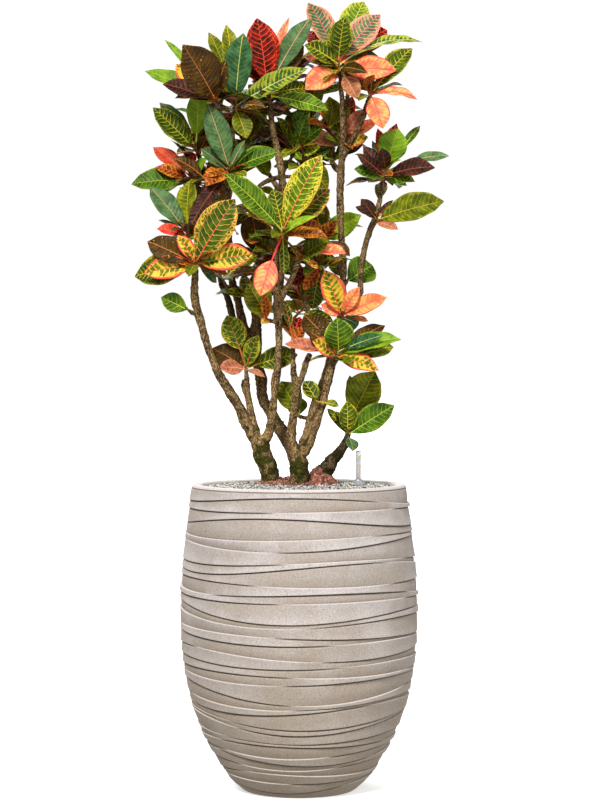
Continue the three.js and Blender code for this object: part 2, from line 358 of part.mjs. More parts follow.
// Leaves placed by rule: how they rise in degrees, how wide they are for their length, how much each
// of this varies, and how they face.
const RULE = {
  low: 20, high: 68, riseVaries: 12, bearingVaries: 16, wide: 0.37, least: 0.8, varies: 0.4,
  goldenAngle: 137.5, manyFrom: 6, outward: 0.6, lean: 0.25, arch: 0.1, stalk: 0.15, seed: 5,
};
const TINY = 0.1; // corners closer than this after joining are merged

// ---------------------------------------------------------------- points, curves and solids

const vec = (x, y, z) => new THREE.Vector3(x, y, z);
const degrees = Math.PI / 180;

// The same draws in the same order each time.
function seededDraws(seed) {
  let state = seed;
  return () => {
    state = (Math.imul(state, 1664525) + 1013904223) >>> 0;
    return state / 4294967296;
  };
}

// A point seen at x and z on the upright plane through the pot's axis, at its true depth.
function sighted(x, z, depth) {
  const scale = (depth - EYE.y) / -EYE.y;
  return vec(EYE.x + (x - EYE.x) * scale, depth, EYE.z + (z - EYE.z) * scale);
}

// A smooth curve through [place, value] points.
function curveThrough(points, place) {
  const last = points.length - 1;
  let i = 0;
  while (i < last - 1 && place > points[i + 1][0]) i++;
  const slope = (k) => {
    const from = points[Math.max(k - 1, 0)];
    const to = points[Math.min(k + 1, last)];
    return (to[1] - from[1]) / (to[0] - from[0]);
  };
  const [x0, y0] = points[i];
  const [x1, y1] = points[i + 1];
  const span = x1 - x0;
  const t = (place - x0) / span;
  const rise = y1 - y0;
  const bend = (1 - t) * (slope(i) * span - rise) - t * (slope(i + 1) * span - rise);
  return y0 + t * rise + t * (1 - t) * bend;
}

// A closed body from rings of points with as many points each; the ends are flat fans.
function loft(rings) {
  const count = rings[0].length;
  const last = rings.length - 1;
  const faces = [];
  const at = (ring, i) => ring * count + (i % count);
  for (let r = 0; r < last; r++) {
    for (let i = 0; i < count; i++) {
      faces.push([at(r, i), at(r, i + 1), at(r + 1, i + 1)], [at(r, i), at(r + 1, i + 1), at(r + 1, i)]);
    }
  }
  for (let i = 1; i < count - 1; i++) {
    faces.push([0, i + 1, i], [at(last, 0), at(last, i), at(last, i + 1)]);
  }
  return solid(rings.flat(), faces);
}

// A solid from places and faces, turned the right way out.
function solid(places, faces) {
  let volume = 0;
  for (const [a, b, c] of faces) {
    volume += places[a].dot(vec(0, 0, 0).crossVectors(places[b], places[c]));
  }
  const outward = volume > 0 ? faces : faces.map(([a, b, c]) => [a, c, b]);
  const mesh = new wasm.Mesh({
    numProp: 3,
    vertProperties: new Float32Array(places.flatMap((p) => [p.x, p.y, p.z])),
    triVerts: new Uint32Array(outward.flat()),
  });
  return new wasm.Manifold(mesh);
}

const joined = (solids) => solids.reduce((all, one) => all.add(one)).asOriginal().simplify(TINY);

// A ring of a round stem: as many points as it has sides, square to its direction.
function stemRing(centre, direction, radius, sides) {
  const across = vec(1, 0, 0).addScaledVector(direction, -direction.x).normalize();
  const over = vec(0, 0, 0).crossVectors(direction, across);
  return Array.from({ length: sides }, (_, i) => {
    const angle = (i / sides) * 2 * Math.PI;
    return centre
      .clone()
      .addScaledVector(across, radius * Math.cos(angle))
      .addScaledVector(over, radius * Math.sin(angle));
  });
}

// A tapered stem through points with a radius each.
function stem(points, radii, sides) {
  return loft(
    points.map((point, i) => {
      const before = points[Math.max(i - 1, 0)];
      const after = points[Math.min(i + 1, points.length - 1)];
      return stemRing(point, after.clone().sub(before).normalize(), radii[i], sides);
    }),
  );
}

// A round body standing on an axis at x and y, from [radius, height] points.
function turned(profile, sides, x = 0, y = 0) {
  const rings = profile.map(([radius, height]) =>
    Array.from({ length: sides }, (_, i) => {
      const angle = (i / sides) * 2 * Math.PI;
      return vec(x + radius * Math.cos(angle), y + radius * Math.sin(angle), height);
    }),
  );
  return rings;
}

function mesh(name, body, colour, roughness, extra = {}) {
  const data = body.getMesh();
  const geometry = new THREE.BufferGeometry();
  geometry.setAttribute("position", new THREE.BufferAttribute(new Float32Array(data.vertProperties), 3));
  geometry.setIndex(new THREE.BufferAttribute(new Uint32Array(data.triVerts), 1));
  const material = new THREE.MeshStandardMaterial({ color: colour, roughness, metalness: 0, ...extra });
  const made = new THREE.Mesh(geometry, material);
  made.name = name;
  return made;
}

// ---------------------------------------------------------------- the pot and its fill

// How each band swells and shrinks round the pot, every second one against the one above it, and
// where each edge's step turns.
function bandWaves() {
  const draw = seededDraws(POT.seed);
  const round = () => 2 * Math.PI * draw();
  const swells = [];
  for (let i = 0; i <= POT.edges.length; i++) {
    swells.push(i % 2 ? { ...swells[i - 1], side: -1 } : { twice: round(), once: round(), side: 1 });
  }
  let phase = 0;
  const steps = POT.edges.map(() => {
    phase += Math.PI + POT.turn * (draw() - 1 / 2);
    return { phase, turns: draw() < POT.lean ? 1 : 2 };
  });
  return { swells, steps };
}

// How far the band above an edge stands proud, or lies behind where it is negative; the band below
// it does the opposite.
function edgeStep({ turns, phase }, angle) {
  const swing = POT.lean + (1 + POT.lean) * Math.sin(turns * angle + phase);
  return POT.proud * Math.max(-1, Math.min(1, swing));
}

// The height of an edge at an angle round the pot: the bands share the pot's height as they swell,
// and all edges rise and fall together.
function edgeHeight(edge, angle, swells) {
  const bounds = [POT.height, ...POT.edges, 0];
  const rooms = swells.map(({ twice, once, side }, i) => {
    const more = POT.swell[0] * Math.sin(2 * angle + twice) + POT.swell[1] * Math.sin(angle + once);
    return (bounds[i] - bounds[i + 1]) * (1 + side * more);
  });
  const sum = (list) => list.reduce((all, one) => all + one, 0);
  const height = POT.height * (1 - sum(rooms.slice(0, edge + 1)) / sum(rooms));
  const together = Math.cos(2 * angle) + Math.sin(angle + POT.edges[edge] / POT.turning) / 2;
  return height + POT.wave * Math.sin((Math.PI * POT.edges[edge]) / POT.height) * together;
}

function makePot() {
  const { swells, steps } = bandWaves();
  const outline = (height) => curveThrough(POT.outline, height);
  const ring = (place) =>
    Array.from({ length: POT.sides }, (_, i) => {
      const angle = (i / POT.sides) * 2 * Math.PI;
      const [radius, height] = place(angle);
      return vec(radius * Math.cos(angle), radius * Math.sin(angle), height);
    });
  const rings = [];
  const flat = (radius, height) => rings.push(ring(() => [radius, height]));
  flat(POT.outline[0][1], 0);
  for (let i = POT.edges.length - 1; i >= 0; i -= POT.modelled) {
    for (const side of [-1, 1]) {
      rings.push(
        ring((angle) => {
          const height = edgeHeight(i, angle, swells) + (side * POT.step) / 2;
          return [outline(height) + side * edgeStep(steps[i], angle), height];
        }),
      );
    }
  }
  const rim = outline(POT.height);
  const [bevelWidth, bevelHeight] = POT.rimBevel;
  flat(rim, POT.height - bevelHeight);
  flat(rim - bevelWidth, POT.height);
  for (const [radius, height] of insideOutline(0).reverse()) flat(radius, height);
  return loft(rings);
}

// The pot's inside as [radius, height] points, from its floor up to a height, drawn in by the clearance.
function insideOutline(clearance, top = POT.height) {
  const inside = (height) => curveThrough(POT.outline, height) - POT.wall - clearance;
  const last = POT.insideHeights.at(-1);
  const share = (top - last) / (POT.height - last);
  return [
    [inside(POT.floor) - POT.floorInset, POT.floor + clearance],
    ...POT.insideHeights.map((height) => [inside(height), height]),
    [inside(last) + share * (inside(POT.height) - inside(last)), top],
  ];
}

function moundHeight(x, y) {
  const lumps = LUMPS.map(([lx, ly, height, radius]) => {
    const away = ((x - lx) ** 2 + (y - ly) ** 2) / radius ** 2;
    return height * Math.exp(-MOUND.steep * away);
  });
  return ROOT_BALL.edge + Math.max(...lumps) - MOUND.sunk;
}

function makeRootBall() {
  const ring = (radius, height) =>
    Array.from({ length: ROOT_BALL.sides }, (_, i) => {
      const angle = (i / ROOT_BALL.sides) * 2 * Math.PI;
      const x = radius * Math.cos(angle);
      const y = radius * Math.sin(angle);
      return vec(x, y, height ?? moundHeight(x, y));
    });
  const radius = ROOT_BALL.radius;
  const top = MOUND.rings.map((share) => ring(radius * share));
  const body = loft([
    ring(radius - ROOT_BALL.taper, ROOT_BALL.bottom),
    ring(radius, ROOT_BALL.bottom + ROOT_BALL.taperHeight),
    ring(radius, ROOT_BALL.edge - ROOT_BALL.brow),
    ...top,
  ]);
  return Object.values(STEMS).reduce((ball, branches) => ball.subtract(footHole(branches.foot)), body);
}

// The plain hole that a trunk stands in: the trunk's own form, larger all round so that the gap is
// kept on its flat sides too.
function footHole(path) {
  const points = path.map(([x, z, depth]) => sighted(x, z, depth));
  points[0].z -= GAP;
  const flats = GAP / Math.cos(Math.PI / STEM_SIDES.foot);
  const radii = path.map(([, , , radius]) => radius + flats);
  return stem(points, radii, STEM_SIDES.foot);
}

function makeGranulate() {
  const outside = insideOutline(GAP, FILL.rim);
  const reach = outside.at(-1)[0];
  const top = [
    [reach - FILL.bank, FILL.rim + FILL.shoulder],
    [ROOT_BALL.radius + FILL.ledge, FILL.crown],
    [FILL.core, FILL.crown],
  ];
  const body = loft(turned([...outside, ...top], POT.sides));
  const hole = ROOT_BALL.radius + GAP;
  const room = loft(turned([
    [hole - ROOT_BALL.taper, ROOT_BALL.bottom - GAP],
    [hole, ROOT_BALL.bottom + ROOT_BALL.taperHeight],
    [hole, ABOVE],
  ], ROOT_BALL.sides));
  const shaft = (radius, from) =>
    loft(turned([[radius, from], [radius, ABOVE]], GAUGE.sides, GAUGE.x, GAUGE.y));
  const socket = shaft(GAUGE.sleeve + GAP, GAUGE.bottom - GAP);
  const bed = shaft(GAUGE.coneRadius + GAUGE.coneSeat, GAUGE.coneBase - GAUGE.bevel - GAP);
  return body.subtract(room).subtract(socket).subtract(bed);
}

// ---------------------------------------------------------------- the water gauge

// The sleeve down in the granulate and the cone on it are one moulding, with a bore from the top.
function makeGaugeCollar() {
  return loft(turned([
    [GAUGE.sleeve, GAUGE.bottom],
    [GAUGE.sleeve, GAUGE.coneBase - GAUGE.bevel],
    [GAUGE.coneRadius, GAUGE.coneBase],
    [GAUGE.coneRadius, GAUGE.coneBase + GAUGE.coneEdge],
    [GAUGE.coneNeck, GAUGE.coneTop],
    [GAUGE.bore, GAUGE.coneTop],
    [GAUGE.bore, GAUGE.bottom + GAUGE.seat],
  ], GAUGE.sides, GAUGE.x, GAUGE.y));
}

// The sight tube is closed at its top and open below, where it stands on the sleeve's floor.
function makeGaugeTube() {
  const foot = GAUGE.bottom + GAUGE.seat + GAP;
  return loft(turned([
    [GAUGE.tubeBore, GAUGE.tubeTop - GAUGE.tubeCap],
    [GAUGE.tubeBore, foot],
    [GAUGE.tube, foot],
    [GAUGE.tube, GAUGE.tubeTop - GAUGE.bevel],
    [GAUGE.tube - GAUGE.bevel, GAUGE.tubeTop],
  ], GAUGE.sides, GAUGE.x, GAUGE.y));
}

function makeGaugeFloat() {
  const foot = GAUGE.bottom + GAUGE.seat + 2 * GAP;
  return loft(turned([
    [GAUGE.tip, foot],
    [GAUGE.tip, foot + GAUGE.float],
    [GAUGE.rod, foot + GAUGE.float + GAUGE.bevel],
    [GAUGE.rod, GAUGE.tipFrom - GAUGE.bevel],
    [GAUGE.tip, GAUGE.tipFrom],
    [GAUGE.tip, GAUGE.tipTo - 2 * GAUGE.bevel],
    [GAUGE.rod, GAUGE.tipTo],
  ], GAUGE.sides, GAUGE.x, GAUGE.y));
}

// ---------------------------------------------------------------- stems and leafy stems

function makeTrunk(branches) {
  return joined(Object.entries(branches).map(([name, path]) => stem(
    path.map(([x, z, depth]) => sighted(x, z, depth)),
    path.map(([, , , radius]) => radius),
    name === "foot" ? STEM_SIDES.foot : STEM_SIDES.branch,
  )));
}

// A twig grows from its branch's end, a gap away, and leans as its shoot says.
function twigLine({ on: [trunk, branch], twig: [length, right, away] }) {
  const path = STEMS[trunk][branch];
  const [last, end] = path.slice(-2).map(([x, z, depth]) => sighted(x, z, depth));
  const grown = end.clone().sub(last).normalize();
  const start = end.clone().addScaledVector(grown, GAP);
  const lean = grown.clone().add(vec(right, away, TWIG.up)).normalize();
  const bend = start.clone().addScaledVector(grown, length * TWIG.straight);
  const tip = bend.clone().addScaledVector(lean, length * (1 - TWIG.straight));
  return { grown, points: [start, bend, tip] };
}

function makeTwig(line) {
  const [start, bend, tip] = line.points;
  const along = tip.clone().sub(bend).normalize();
  return loft([
    stemRing(start, line.grown, TWIG.root, TWIG.sides),
    stemRing(bend, line.grown.clone().add(along).normalize(), TWIG.bend, TWIG.sides),
    stemRing(tip.clone().addScaledVector(along, TWIG.end), along, TWIG.tip, TWIG.sides),
  ]);
}

function onTwig(line, share) {
  const [, bend, tip] = line.points;
  return bend.clone().lerp(tip, share);
}

// Where a leaf starts inside its twig: past the middle, on the side that the leaf points away from.
function rootBehind(line, centre, tip) {
  const [, bend, end] = line.points;
  const along = end.clone().sub(bend).normalize();
  const outward = tip.clone().sub(centre).normalize();
  const rise = outward.dot(along);
  const sideways = outward.addScaledVector(along, -rise);
  return centre.clone().addScaledVector(sideways, -TWIG.past).addScaledVector(along, -TWIG.deep * rise);
}

// Half a blade's width along it, as a share of the widest.
const bladeShape = (t) => Math.sin(Math.PI * t ** LEAF.shape[0]) ** LEAF.shape[1];

// The midrib and the directions of a leaf: along it, to its side, and out of its upper face.
function leafFrame(root, tip, tilt, upward) {
  const reach = tip.clone().sub(root);
  const along = reach.clone().normalize();
  const square = (v) => v.clone().addScaledVector(along, -v.dot(along)).normalize();
  let face;
  if (upward) {
    face = square(upward);
  } else {
    const toEye = square(vec(0, -1, 0));
    const up = vec(0, 0, 0).crossVectors(along, toEye);
    if (up.z < 0) up.negate();
    face = toEye.multiplyScalar(Math.cos(tilt * degrees)).addScaledVector(up, Math.sin(tilt * degrees));
  }
  return { root, reach, length: reach.length(), face, side: vec(0, 0, 0).crossVectors(face, along) };
}

function ribPoint(frame, arch, t) {
  return frame.root
    .clone()
    .addScaledVector(frame.reach, t)
    .addScaledVector(frame.face, arch * frame.length * 4 * t * (1 - t));
}

function stationsAlong(width) {
  if (width < LEAF.slimUpTo) return LEAF.slim;
  return width > LEAF.largeFrom ? LEAF.large : LEAF.usual;
}

// One leaf as a closed body: a stalk that widens out of the twig, then a folded blade of even
// thickness, up to its tip. Grown, or from the blade on, it is what has to be clear of the rest.
function makeLeaf(leaf, { grow = 0, bladeOnly = false } = {}) {
  const { frame, width, arch, stalk } = leaf;
  const places = [];
  const section = (share, points) => {
    const centre = ribPoint(frame, arch, share);
    for (const [s, f] of points) {
      places.push(centre.clone().addScaledVector(frame.side, s).addScaledVector(frame.face, f));
    }
  };
  const faces = [];
  if (bladeOnly) {
    faces.push([0, 2, 1]);
  } else {
    places.push(frame.root);
    faces.push([0, 2, 1], [0, 3, 2], [0, 1, 3]);
  }
  const base = places.length;
  const round = LEAF.stalk + grow;
  const corners = [150, 30, -90].map((turn) => [Math.cos(turn * degrees), Math.sin(turn * degrees)]);
  section(
    bladeOnly ? Math.max(stalk, LEAF.bladeFrom) : stalk,
    corners.map(([s, f]) => [s * round, f * round]),
  );
  const stations = stationsAlong(width);
  for (const station of stations) {
    const half = (width / 2) * bladeShape(station);
    const rise = half * LEAF.fold;
    const thick = LEAF.thick / 2 + grow;
    section(stalk + (1 - stalk) * station, [
      [-half - grow, rise + thick], [0, thick], [half + grow, rise + thick],
      [half + grow, rise - thick], [0, -thick], [-half - grow, rise - thick],
    ]);
  }
  places.push(ribPoint(frame, arch, 1 + grow / frame.length));
  const widening = [[0, 1, 4], [0, 4, 3], [1, 5, 4], [1, 6, 5], [1, 2, 6], [2, 7, 6], [2, 8, 7],
    [2, 0, 8], [0, 3, 8]];
  faces.push(...widening.map((face) => face.map((i) => base + i)));
  // The same diagonals on both faces, so that the blade is as thick everywhere.
  const outline = [[0, 1, true], [1, 2, false], [2, 3, true], [3, 4, true], [4, 5, false], [5, 0, false]];
  for (let station = 1; station < stations.length; station++) {
    const a = base + 6 * station - 3;
    for (const [i, j, falling] of outline) {
      if (falling) faces.push([a + i, a + j, a + 6 + j], [a + i, a + 6 + j, a + 6 + i]);
      else faces.push([a + i, a + j, a + 6 + i], [a + j, a + 6 + j, a + 6 + i]);
    }
  }
  const tip = places.length - 1;
  for (let i = 0; i < 6; i++) faces.push([tip - 6 + i, tip - 6 + ((i + 1) % 6), tip]);
  return solid(places, faces);
}

// The ways in which one read or ruled leaf may be bent, the plainest first.
function readLeafChoices(line, row, share) {
  const [x, z, away, seen, tilt, arch, stalk] = row;
  const width = seen / Math.cos(tilt * degrees);
  const centre = onTwig(line, share);
  return BEND.depths.map((shift) => {
    const tip = sighted(x, z, centre.y + away + shift);
    return { frame: leafFrame(rootBehind(line, centre, tip), tip, tilt), width, arch, stalk };
  });
}

function ruledLeafChoices(line, more, number, draw) {
  const [count, from, to, length] = more;
  const part = (number + 0.5) / count;
  const spread = count < RULE.manyFrom ? part * (to - from) : (number * RULE.goldenAngle) % (to - from);
  const either = (amount) => amount * (draw() - 1 / 2);
  const bearing = from + spread + either(RULE.bearingVaries);
  const rise = RULE.low + (RULE.high - RULE.low) * part + either(RULE.riseVaries);
  const long = length * (RULE.least + RULE.varies * draw());
  const width = long * RULE.wide * (RULE.least + RULE.varies * draw());
  const centre = onTwig(line, TWIG.firstLeaf + (1 - TWIG.firstLeaf) * part);
  const lean = vec(either(RULE.lean), either(RULE.lean), 0);
  const { arch, stalk } = RULE;
  return BEND.turns.map(([turn, lift]) => {
    const flat = (bearing + turn) * degrees;
    const up = (rise + lift) * degrees;
    const outward = vec(Math.cos(flat), Math.sin(flat), 0);
    const tip = centre.clone().addScaledVector(outward, long * Math.cos(up));
    tip.z += long * Math.sin(up);
    const upward = vec(0, 0, 1).addScaledVector(outward, -RULE.outward).add(lean);
    return { frame: leafFrame(rootBehind(line, centre, tip), tip, 0, upward), width, arch, stalk };
  });
}

const boxesMeet = (a, b) => [0, 1, 2].every((i) => a.min[i] <= b.max[i] && b.min[i] <= a.max[i]);

// Everything that a leaf has to stay clear of: each with its node's name and its box.
const standing = [];
function stand(name, body) {
  standing.push({ name, body, box: body.boundingBox() });
}

// How many of the standing bodies that pass the test a body meets.
function meetings(body, test) {
  const box = body.boundingBox();
  const met = (other) => test(other) && boxesMeet(box, other.box) && !body.intersect(other.body).isEmpty();
  return standing.filter(met).length;
}

// The choice that is clear of all other pieces and whose blade crosses the fewest leaves of its own
// leafy stem; the plainest one where several are alike.
function bentClear(name, choices) {
  let best = null;
  let fewest = Infinity;
  for (const choice of choices) {
    if (meetings(makeLeaf(choice, { grow: LEAF.clear }), (other) => other.name !== name)) continue;
    const blade = makeLeaf(choice, { grow: LEAF.clear, bladeOnly: true });
    const crossed = meetings(blade, (other) => other.name === name);
    if (crossed < fewest) [best, fewest] = [choice, crossed];
    if (crossed === 0) break;
  }
  return best;
}

function makeShoots() {
  const lines = Object.fromEntries(Object.entries(SHOOTS).map(([name, shoot]) => [name, twigLine(shoot)]));
  const bodies = {};
  for (const [name, line] of Object.entries(lines)) {
    bodies[name] = [makeTwig(line)];
    stand(name, bodies[name][0]);
  }
  const grow = (name, choices) => {
    const choice = bentClear(name, choices);
    if (!choice) return;
    const body = makeLeaf(choice);
    bodies[name].push(body);
    stand(name, body);
  };
  for (const [name, shoot] of Object.entries(SHOOTS)) {
    shoot.leaves.forEach((row, i) => {
      const share = TWIG.firstLeaf + (1 - TWIG.firstLeaf) * ((i + 1) / shoot.leaves.length);
      grow(name, readLeafChoices(lines[name], row, share));
    });
  }
  Object.entries(SHOOTS).forEach(([name, { more }], place) => {
    const draw = seededDraws(RULE.seed + place);
    for (let i = 0; more && i < more[0]; i++) grow(name, ruledLeafChoices(lines[name], more, i, draw));
  });
  return Object.entries(bodies).map(([name, parts]) => [name, joined(parts)]);
}

// ---------------------------------------------------------------- the plant and its pot

const croton = new THREE.Group();

const MATT = 0.9; // roughness of stone, grit, soil and bark
const GLOSS = 0.35; // and of leaves and mouldings

croton.add(mesh("pot", makePot(), 0xc9bfb4, MATT));
const granulate = makeGranulate();
const rootBall = makeRootBall();
croton.add(mesh("granulate", granulate, 0xb9b4ab, MATT));
croton.add(mesh("root_ball", rootBall, 0x6b3a26, MATT));
stand("granulate", granulate);
stand("root_ball", rootBall);

for (const [name, body, colour, extra] of [
  ["gauge_collar", makeGaugeCollar(), 0xd8d8d4, { transparent: true, opacity: 0.6 }],
  ["gauge_tube", makeGaugeTube(), 0xcfd0d2, { transparent: true, opacity: 0.6 }],
  ["gauge_float", makeGaugeFloat(), 0xc0392b, {}],
]) {
  croton.add(mesh(name, body, colour, GLOSS, extra));
  stand(name, body);
}

for (const [name, branches] of Object.entries(STEMS)) {
  const trunk = makeTrunk(branches);
  croton.add(mesh(name, trunk, 0x8a7355, MATT));
  stand(name, trunk);
}

for (const [name, body] of makeShoots()) {
  const { leaves, more } = SHOOTS[name];
  const finish = leaves.length ? leaves.at(-1).at(-1) : more.at(-1)[0];
  croton.add(mesh(`leaves_${name}`, body, TINTS[finish], GLOSS));
}

export default croton;
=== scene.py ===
"""Potted croton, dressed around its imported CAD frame.

A croton with bare forked trunks and rosettes of patterned leaves stands in a tall, round cast-stone
pot with a wavy banded outside. The pot is topped up with mineral granulate and has a water gauge.
Sizes are in millimetres until a piece's mesh is made, which is in metres.
"""

import itertools
import logging
import math
from collections.abc import Callable, Iterable, Iterator
from dataclasses import dataclass, field
from enum import Enum
from functools import partial

import bpy
import numpy as np
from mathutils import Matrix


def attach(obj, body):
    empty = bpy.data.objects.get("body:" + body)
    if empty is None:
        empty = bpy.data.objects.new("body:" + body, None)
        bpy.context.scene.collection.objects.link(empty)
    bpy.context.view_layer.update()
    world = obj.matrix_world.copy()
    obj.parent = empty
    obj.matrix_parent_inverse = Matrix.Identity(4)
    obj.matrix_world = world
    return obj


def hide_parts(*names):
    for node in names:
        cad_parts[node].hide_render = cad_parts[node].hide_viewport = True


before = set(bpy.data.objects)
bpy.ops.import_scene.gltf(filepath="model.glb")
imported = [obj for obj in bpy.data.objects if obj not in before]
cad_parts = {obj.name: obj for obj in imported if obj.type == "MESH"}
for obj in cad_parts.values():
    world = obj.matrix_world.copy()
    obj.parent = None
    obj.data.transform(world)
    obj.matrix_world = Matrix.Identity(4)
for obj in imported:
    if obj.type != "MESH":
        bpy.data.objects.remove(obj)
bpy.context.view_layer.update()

Array = np.ndarray
Material = bpy.types.Material
LOG = logging.getLogger("croton")
MM = 0.001
GAP = 0.3  # between pieces that touch
EYE = np.array([2.0, -4700.0, 870.0])  # the point that places on the plant are sighted from
UP = np.array([0.0, 0.0, 1.0])
GOLDEN = 137.5  # degrees from one leaf of a spiral to the next
VEIN_LEAN, VEIN_BEND = 0.36, 0.3  # how far a side vein has run forward, near the rib and more so outwards

# Branches of each trunk, as [x, z, depth, radius] along them: x and z where a point is seen on the upright
# plane through the pot's axis, depth its true distance behind that plane, or before it if negative.
STEMS = {
  "left": {
    "foot": [[-58,560,-10,17], [-58,622,-10,20], [-74,674,-12,20], [-82,700,-14,18]],
    "outer": [[-80,690,-13,14], [-104,728,-22,12], [-118,762,-34,11.5], [-137,792,-46,11],
      [-162,834,-60,9.5], [-183,886,-74,7.5], [-197,936,-84,8.5], [-208,978,-90,9.5], [-208,1012,-94,7.5],
      [-208,1044,-96,6.8], [-212,1072,-88,5.5], [-218,1094,-80,5]],
    "outer_spur": [[-208,1032,-95,5.5], [-207,1040,-112,5]],
    "outer_leaf_spur": [[-206,948,-86,4], [-213,952,-99,3.4]],
    "inner": [[-84,692,-8,12], [-90,728,0,8], [-99,768,6,6.5], [-104,806,8,6.2], [-105,824,7,5.5]],
    "inner_stub": [[-102,778,8,5], [-111,800,15,4.6], [-111,820,18,4]],
    "right": [[-74,688,-14,13], [-60,714,-18,9], [-55,738,-20,9], [-50,778,-22,8], [-47,818,-26,9.5],
      [-42,848,-28,7.8], [-40,918,-32,7.8], [-42,948,-34,9], [-43,974,-34,12]],
    "right_leaf_spur": [[-42,934,-33,4.5], [-56,936,-44,4]],
    "right_arm": [[-42,968,-34,8.5], [-28,996,-42,6.5], [-14,1022,-48,6], [-1,1052,-54,5]],
    "star_arm": [[-43,972,-36,9], [-45,1008,-48,7.5], [-47,1040,-58,7], [-42,1074,-68,6],
      [-39,1086,-70,5.5]],
    "tall": [[-42,974,-30,10], [-36,1042,-10,8.5], [-28,1112,2,8.5], [-26,1172,4,8.5], [-32,1206,4,9],
      [-36,1240,2,8], [-44,1280,-2,7], [-52,1318,-6,6.5], [-57,1356,-10,5.5]],
    "tall_stub": [[-32,1224,2,5.5], [-58,1218,-10,5], [-82,1204,-18,4.2]],
    "back_top": [[-44,1276,-2,5.5], [-49,1312,52,5], [-56,1352,102,4.5], [-58,1372,122,4]],
    "back_middle": [[-28,1176,4,5.5], [-52,1216,60,5], [-72,1248,110,4.5], [-80,1262,128,4]],
    "inner_spur": [[-34,1232,2,5.5], [-22,1250,18,4.8], [-14,1264,26,4.2]],
  },
  "back": {
    "foot": [[2,560,41,14], [0,622,42,15], [-5,652,44,14.5], [-18,684,48,13.5], [-46,734,54,13],
      [-70,778,56,12], [-76,820,58,12.5], [-84,866,60,12], [-85,914,60,12], [-85,950,60,11],
      [-88,1000,62,9.5], [-88,1034,62,7.5], [-84,1050,60,7]],
    "left": [[-86,880,60,9], [-104,908,58,9.5], [-116,948,56,9.5], [-122,978,54,8.5], [-132,1008,50,8],
      [-138,1060,40,7.5], [-142,1120,28,7.5], [-146,1170,16,8], [-141,1212,4,7.5], [-137,1258,-4,6],
      [-133,1300,-14,5.5], [-130,1336,-22,5]],
    "left_spur": [[-141,1216,2,5.5], [-140,1226,-18,5]],
    "high_spur": [[-134,1290,-12,5], [-146,1328,-28,4.5], [-160,1360,-44,4]],
    "far_left": [[-100,898,58,8], [-128,932,66,7], [-142,980,74,6.5], [-156,1012,76,6], [-164,1060,74,6],
      [-170,1110,66,6], [-176,1160,50,6], [-190,1186,36,5.6], [-202,1204,24,5]],
    "far_left_up": [[-176,1158,50,5], [-182,1200,52,4.5], [-190,1240,40,4.2], [-198,1260,22,4]],
    "back_left": [[-136,1052,42,5.5], [-142,1092,92,5], [-148,1120,134,4.5]],
    "back_high": [[-141,1206,6,5.5], [-152,1246,66,5], [-166,1286,118,4.5]],
    "back_low": [[-86,976,61,5.5], [-70,1006,104,5], [-58,1026,136,4.5]],
    "inner_spur": [[-140,1236,0,5], [-122,1260,30,4.6], [-108,1280,48,4.2]],
  },
  "middle": {
    "foot": [[0,560,-30,17], [0,622,-30,20], [-2,660,-30,20], [-2,680,-30,18]],
    "left": [[-4,668,-30,13], [-14,696,-34,10.5], [-13,730,-38,9.5], [-8,766,-40,9], [-4,800,-42,9],
      [-9,820,-42,7], [-12,858,-38,6], [-12,886,-32,5.2]],
    "left_stub": [[-4,800,-42,7], [6,824,-46,6.5], [14,852,-52,6.5], [22,870,-58,6]],
    "tall": [[4,670,-26,13], [12,692,-18,12], [20,722,-4,11], [30,758,10,10.5], [38,788,22,10],
      [54,828,34,10], [72,890,38,9], [84,950,36,8.5], [88,1036,34,7.5], [84,1118,32,7.5], [82,1178,30,7.5],
      [84,1238,26,7.2], [88,1298,20,6.6], [87,1358,14,5.8], [84,1402,10,5]],
    "low_spur": [[26,744,4,4], [12,742,6,3.6], [5,744,8,3.2]],
    "front": [[6,670,-34,12], [22,694,-42,9.5], [34,728,-50,8.5], [44,758,-56,8], [52,788,-60,8],
      [58,816,-64,9.5], [64,838,-66,9], [68,848,-66,7]],
    "front_spur": [[46,764,-57,4], [40,770,-68,3.4]],
    "fork": [[88,1264,24,6.5], [100,1286,16,6], [112,1308,6,6], [126,1338,-4,5.8], [136,1370,-14,5.2]],
    "far_right": [[56,832,34,8.5], [84,880,52,8], [110,940,56,7.5], [122,992,50,6.5], [124,1036,44,6],
      [130,1076,38,6], [140,1112,32,6.5], [154,1146,26,6], [162,1178,20,5.5], [166,1200,16,5]],
    "far_right_spur": [[146,1124,30,5], [150,1130,12,4.4]],
    "coral_spur": [[80,922,37,5.5], [82,930,6,5], [83,938,-18,4.5]],
    "brown_spur": [[84,948,36,6], [66,984,24,5.5], [54,1014,8,5], [48,1032,-2,4.5]],
    "crown_spur": [[86,1272,23,5], [85,1280,42,4.4]],
    "low_far_spur": [[87,1006,34,5], [93,1012,54,4]],
    "back_right": [[84,1230,27,5.5], [62,1260,74,5], [40,1290,118,4.5], [32,1306,134,4]],
    "back_low": [[74,896,38,5.5], [44,928,78,5], [14,958,116,4.5]],
    "back_middle": [[86,1030,34,5.5], [66,1064,84,5], [50,1086,126,4.5]],
    "back_far": [[156,1158,24,5], [164,1190,70,4.5], [168,1210,106,4]],
    "back_crown": [[87,1326,17,5], [94,1364,66,4.5], [98,1390,104,4]],
  },
  "right": {
    "foot": [[48,560,4,14], [46,622,4,17], [62,650,2,16], [77,668,0,13], [88,684,-2,9.5], [96,702,-2,7],
      [102,726,0,6], [106,742,2,5.4]],
    "spur": [[95,696,-2,5.5], [96,702,-20,4.8]],
  },
}

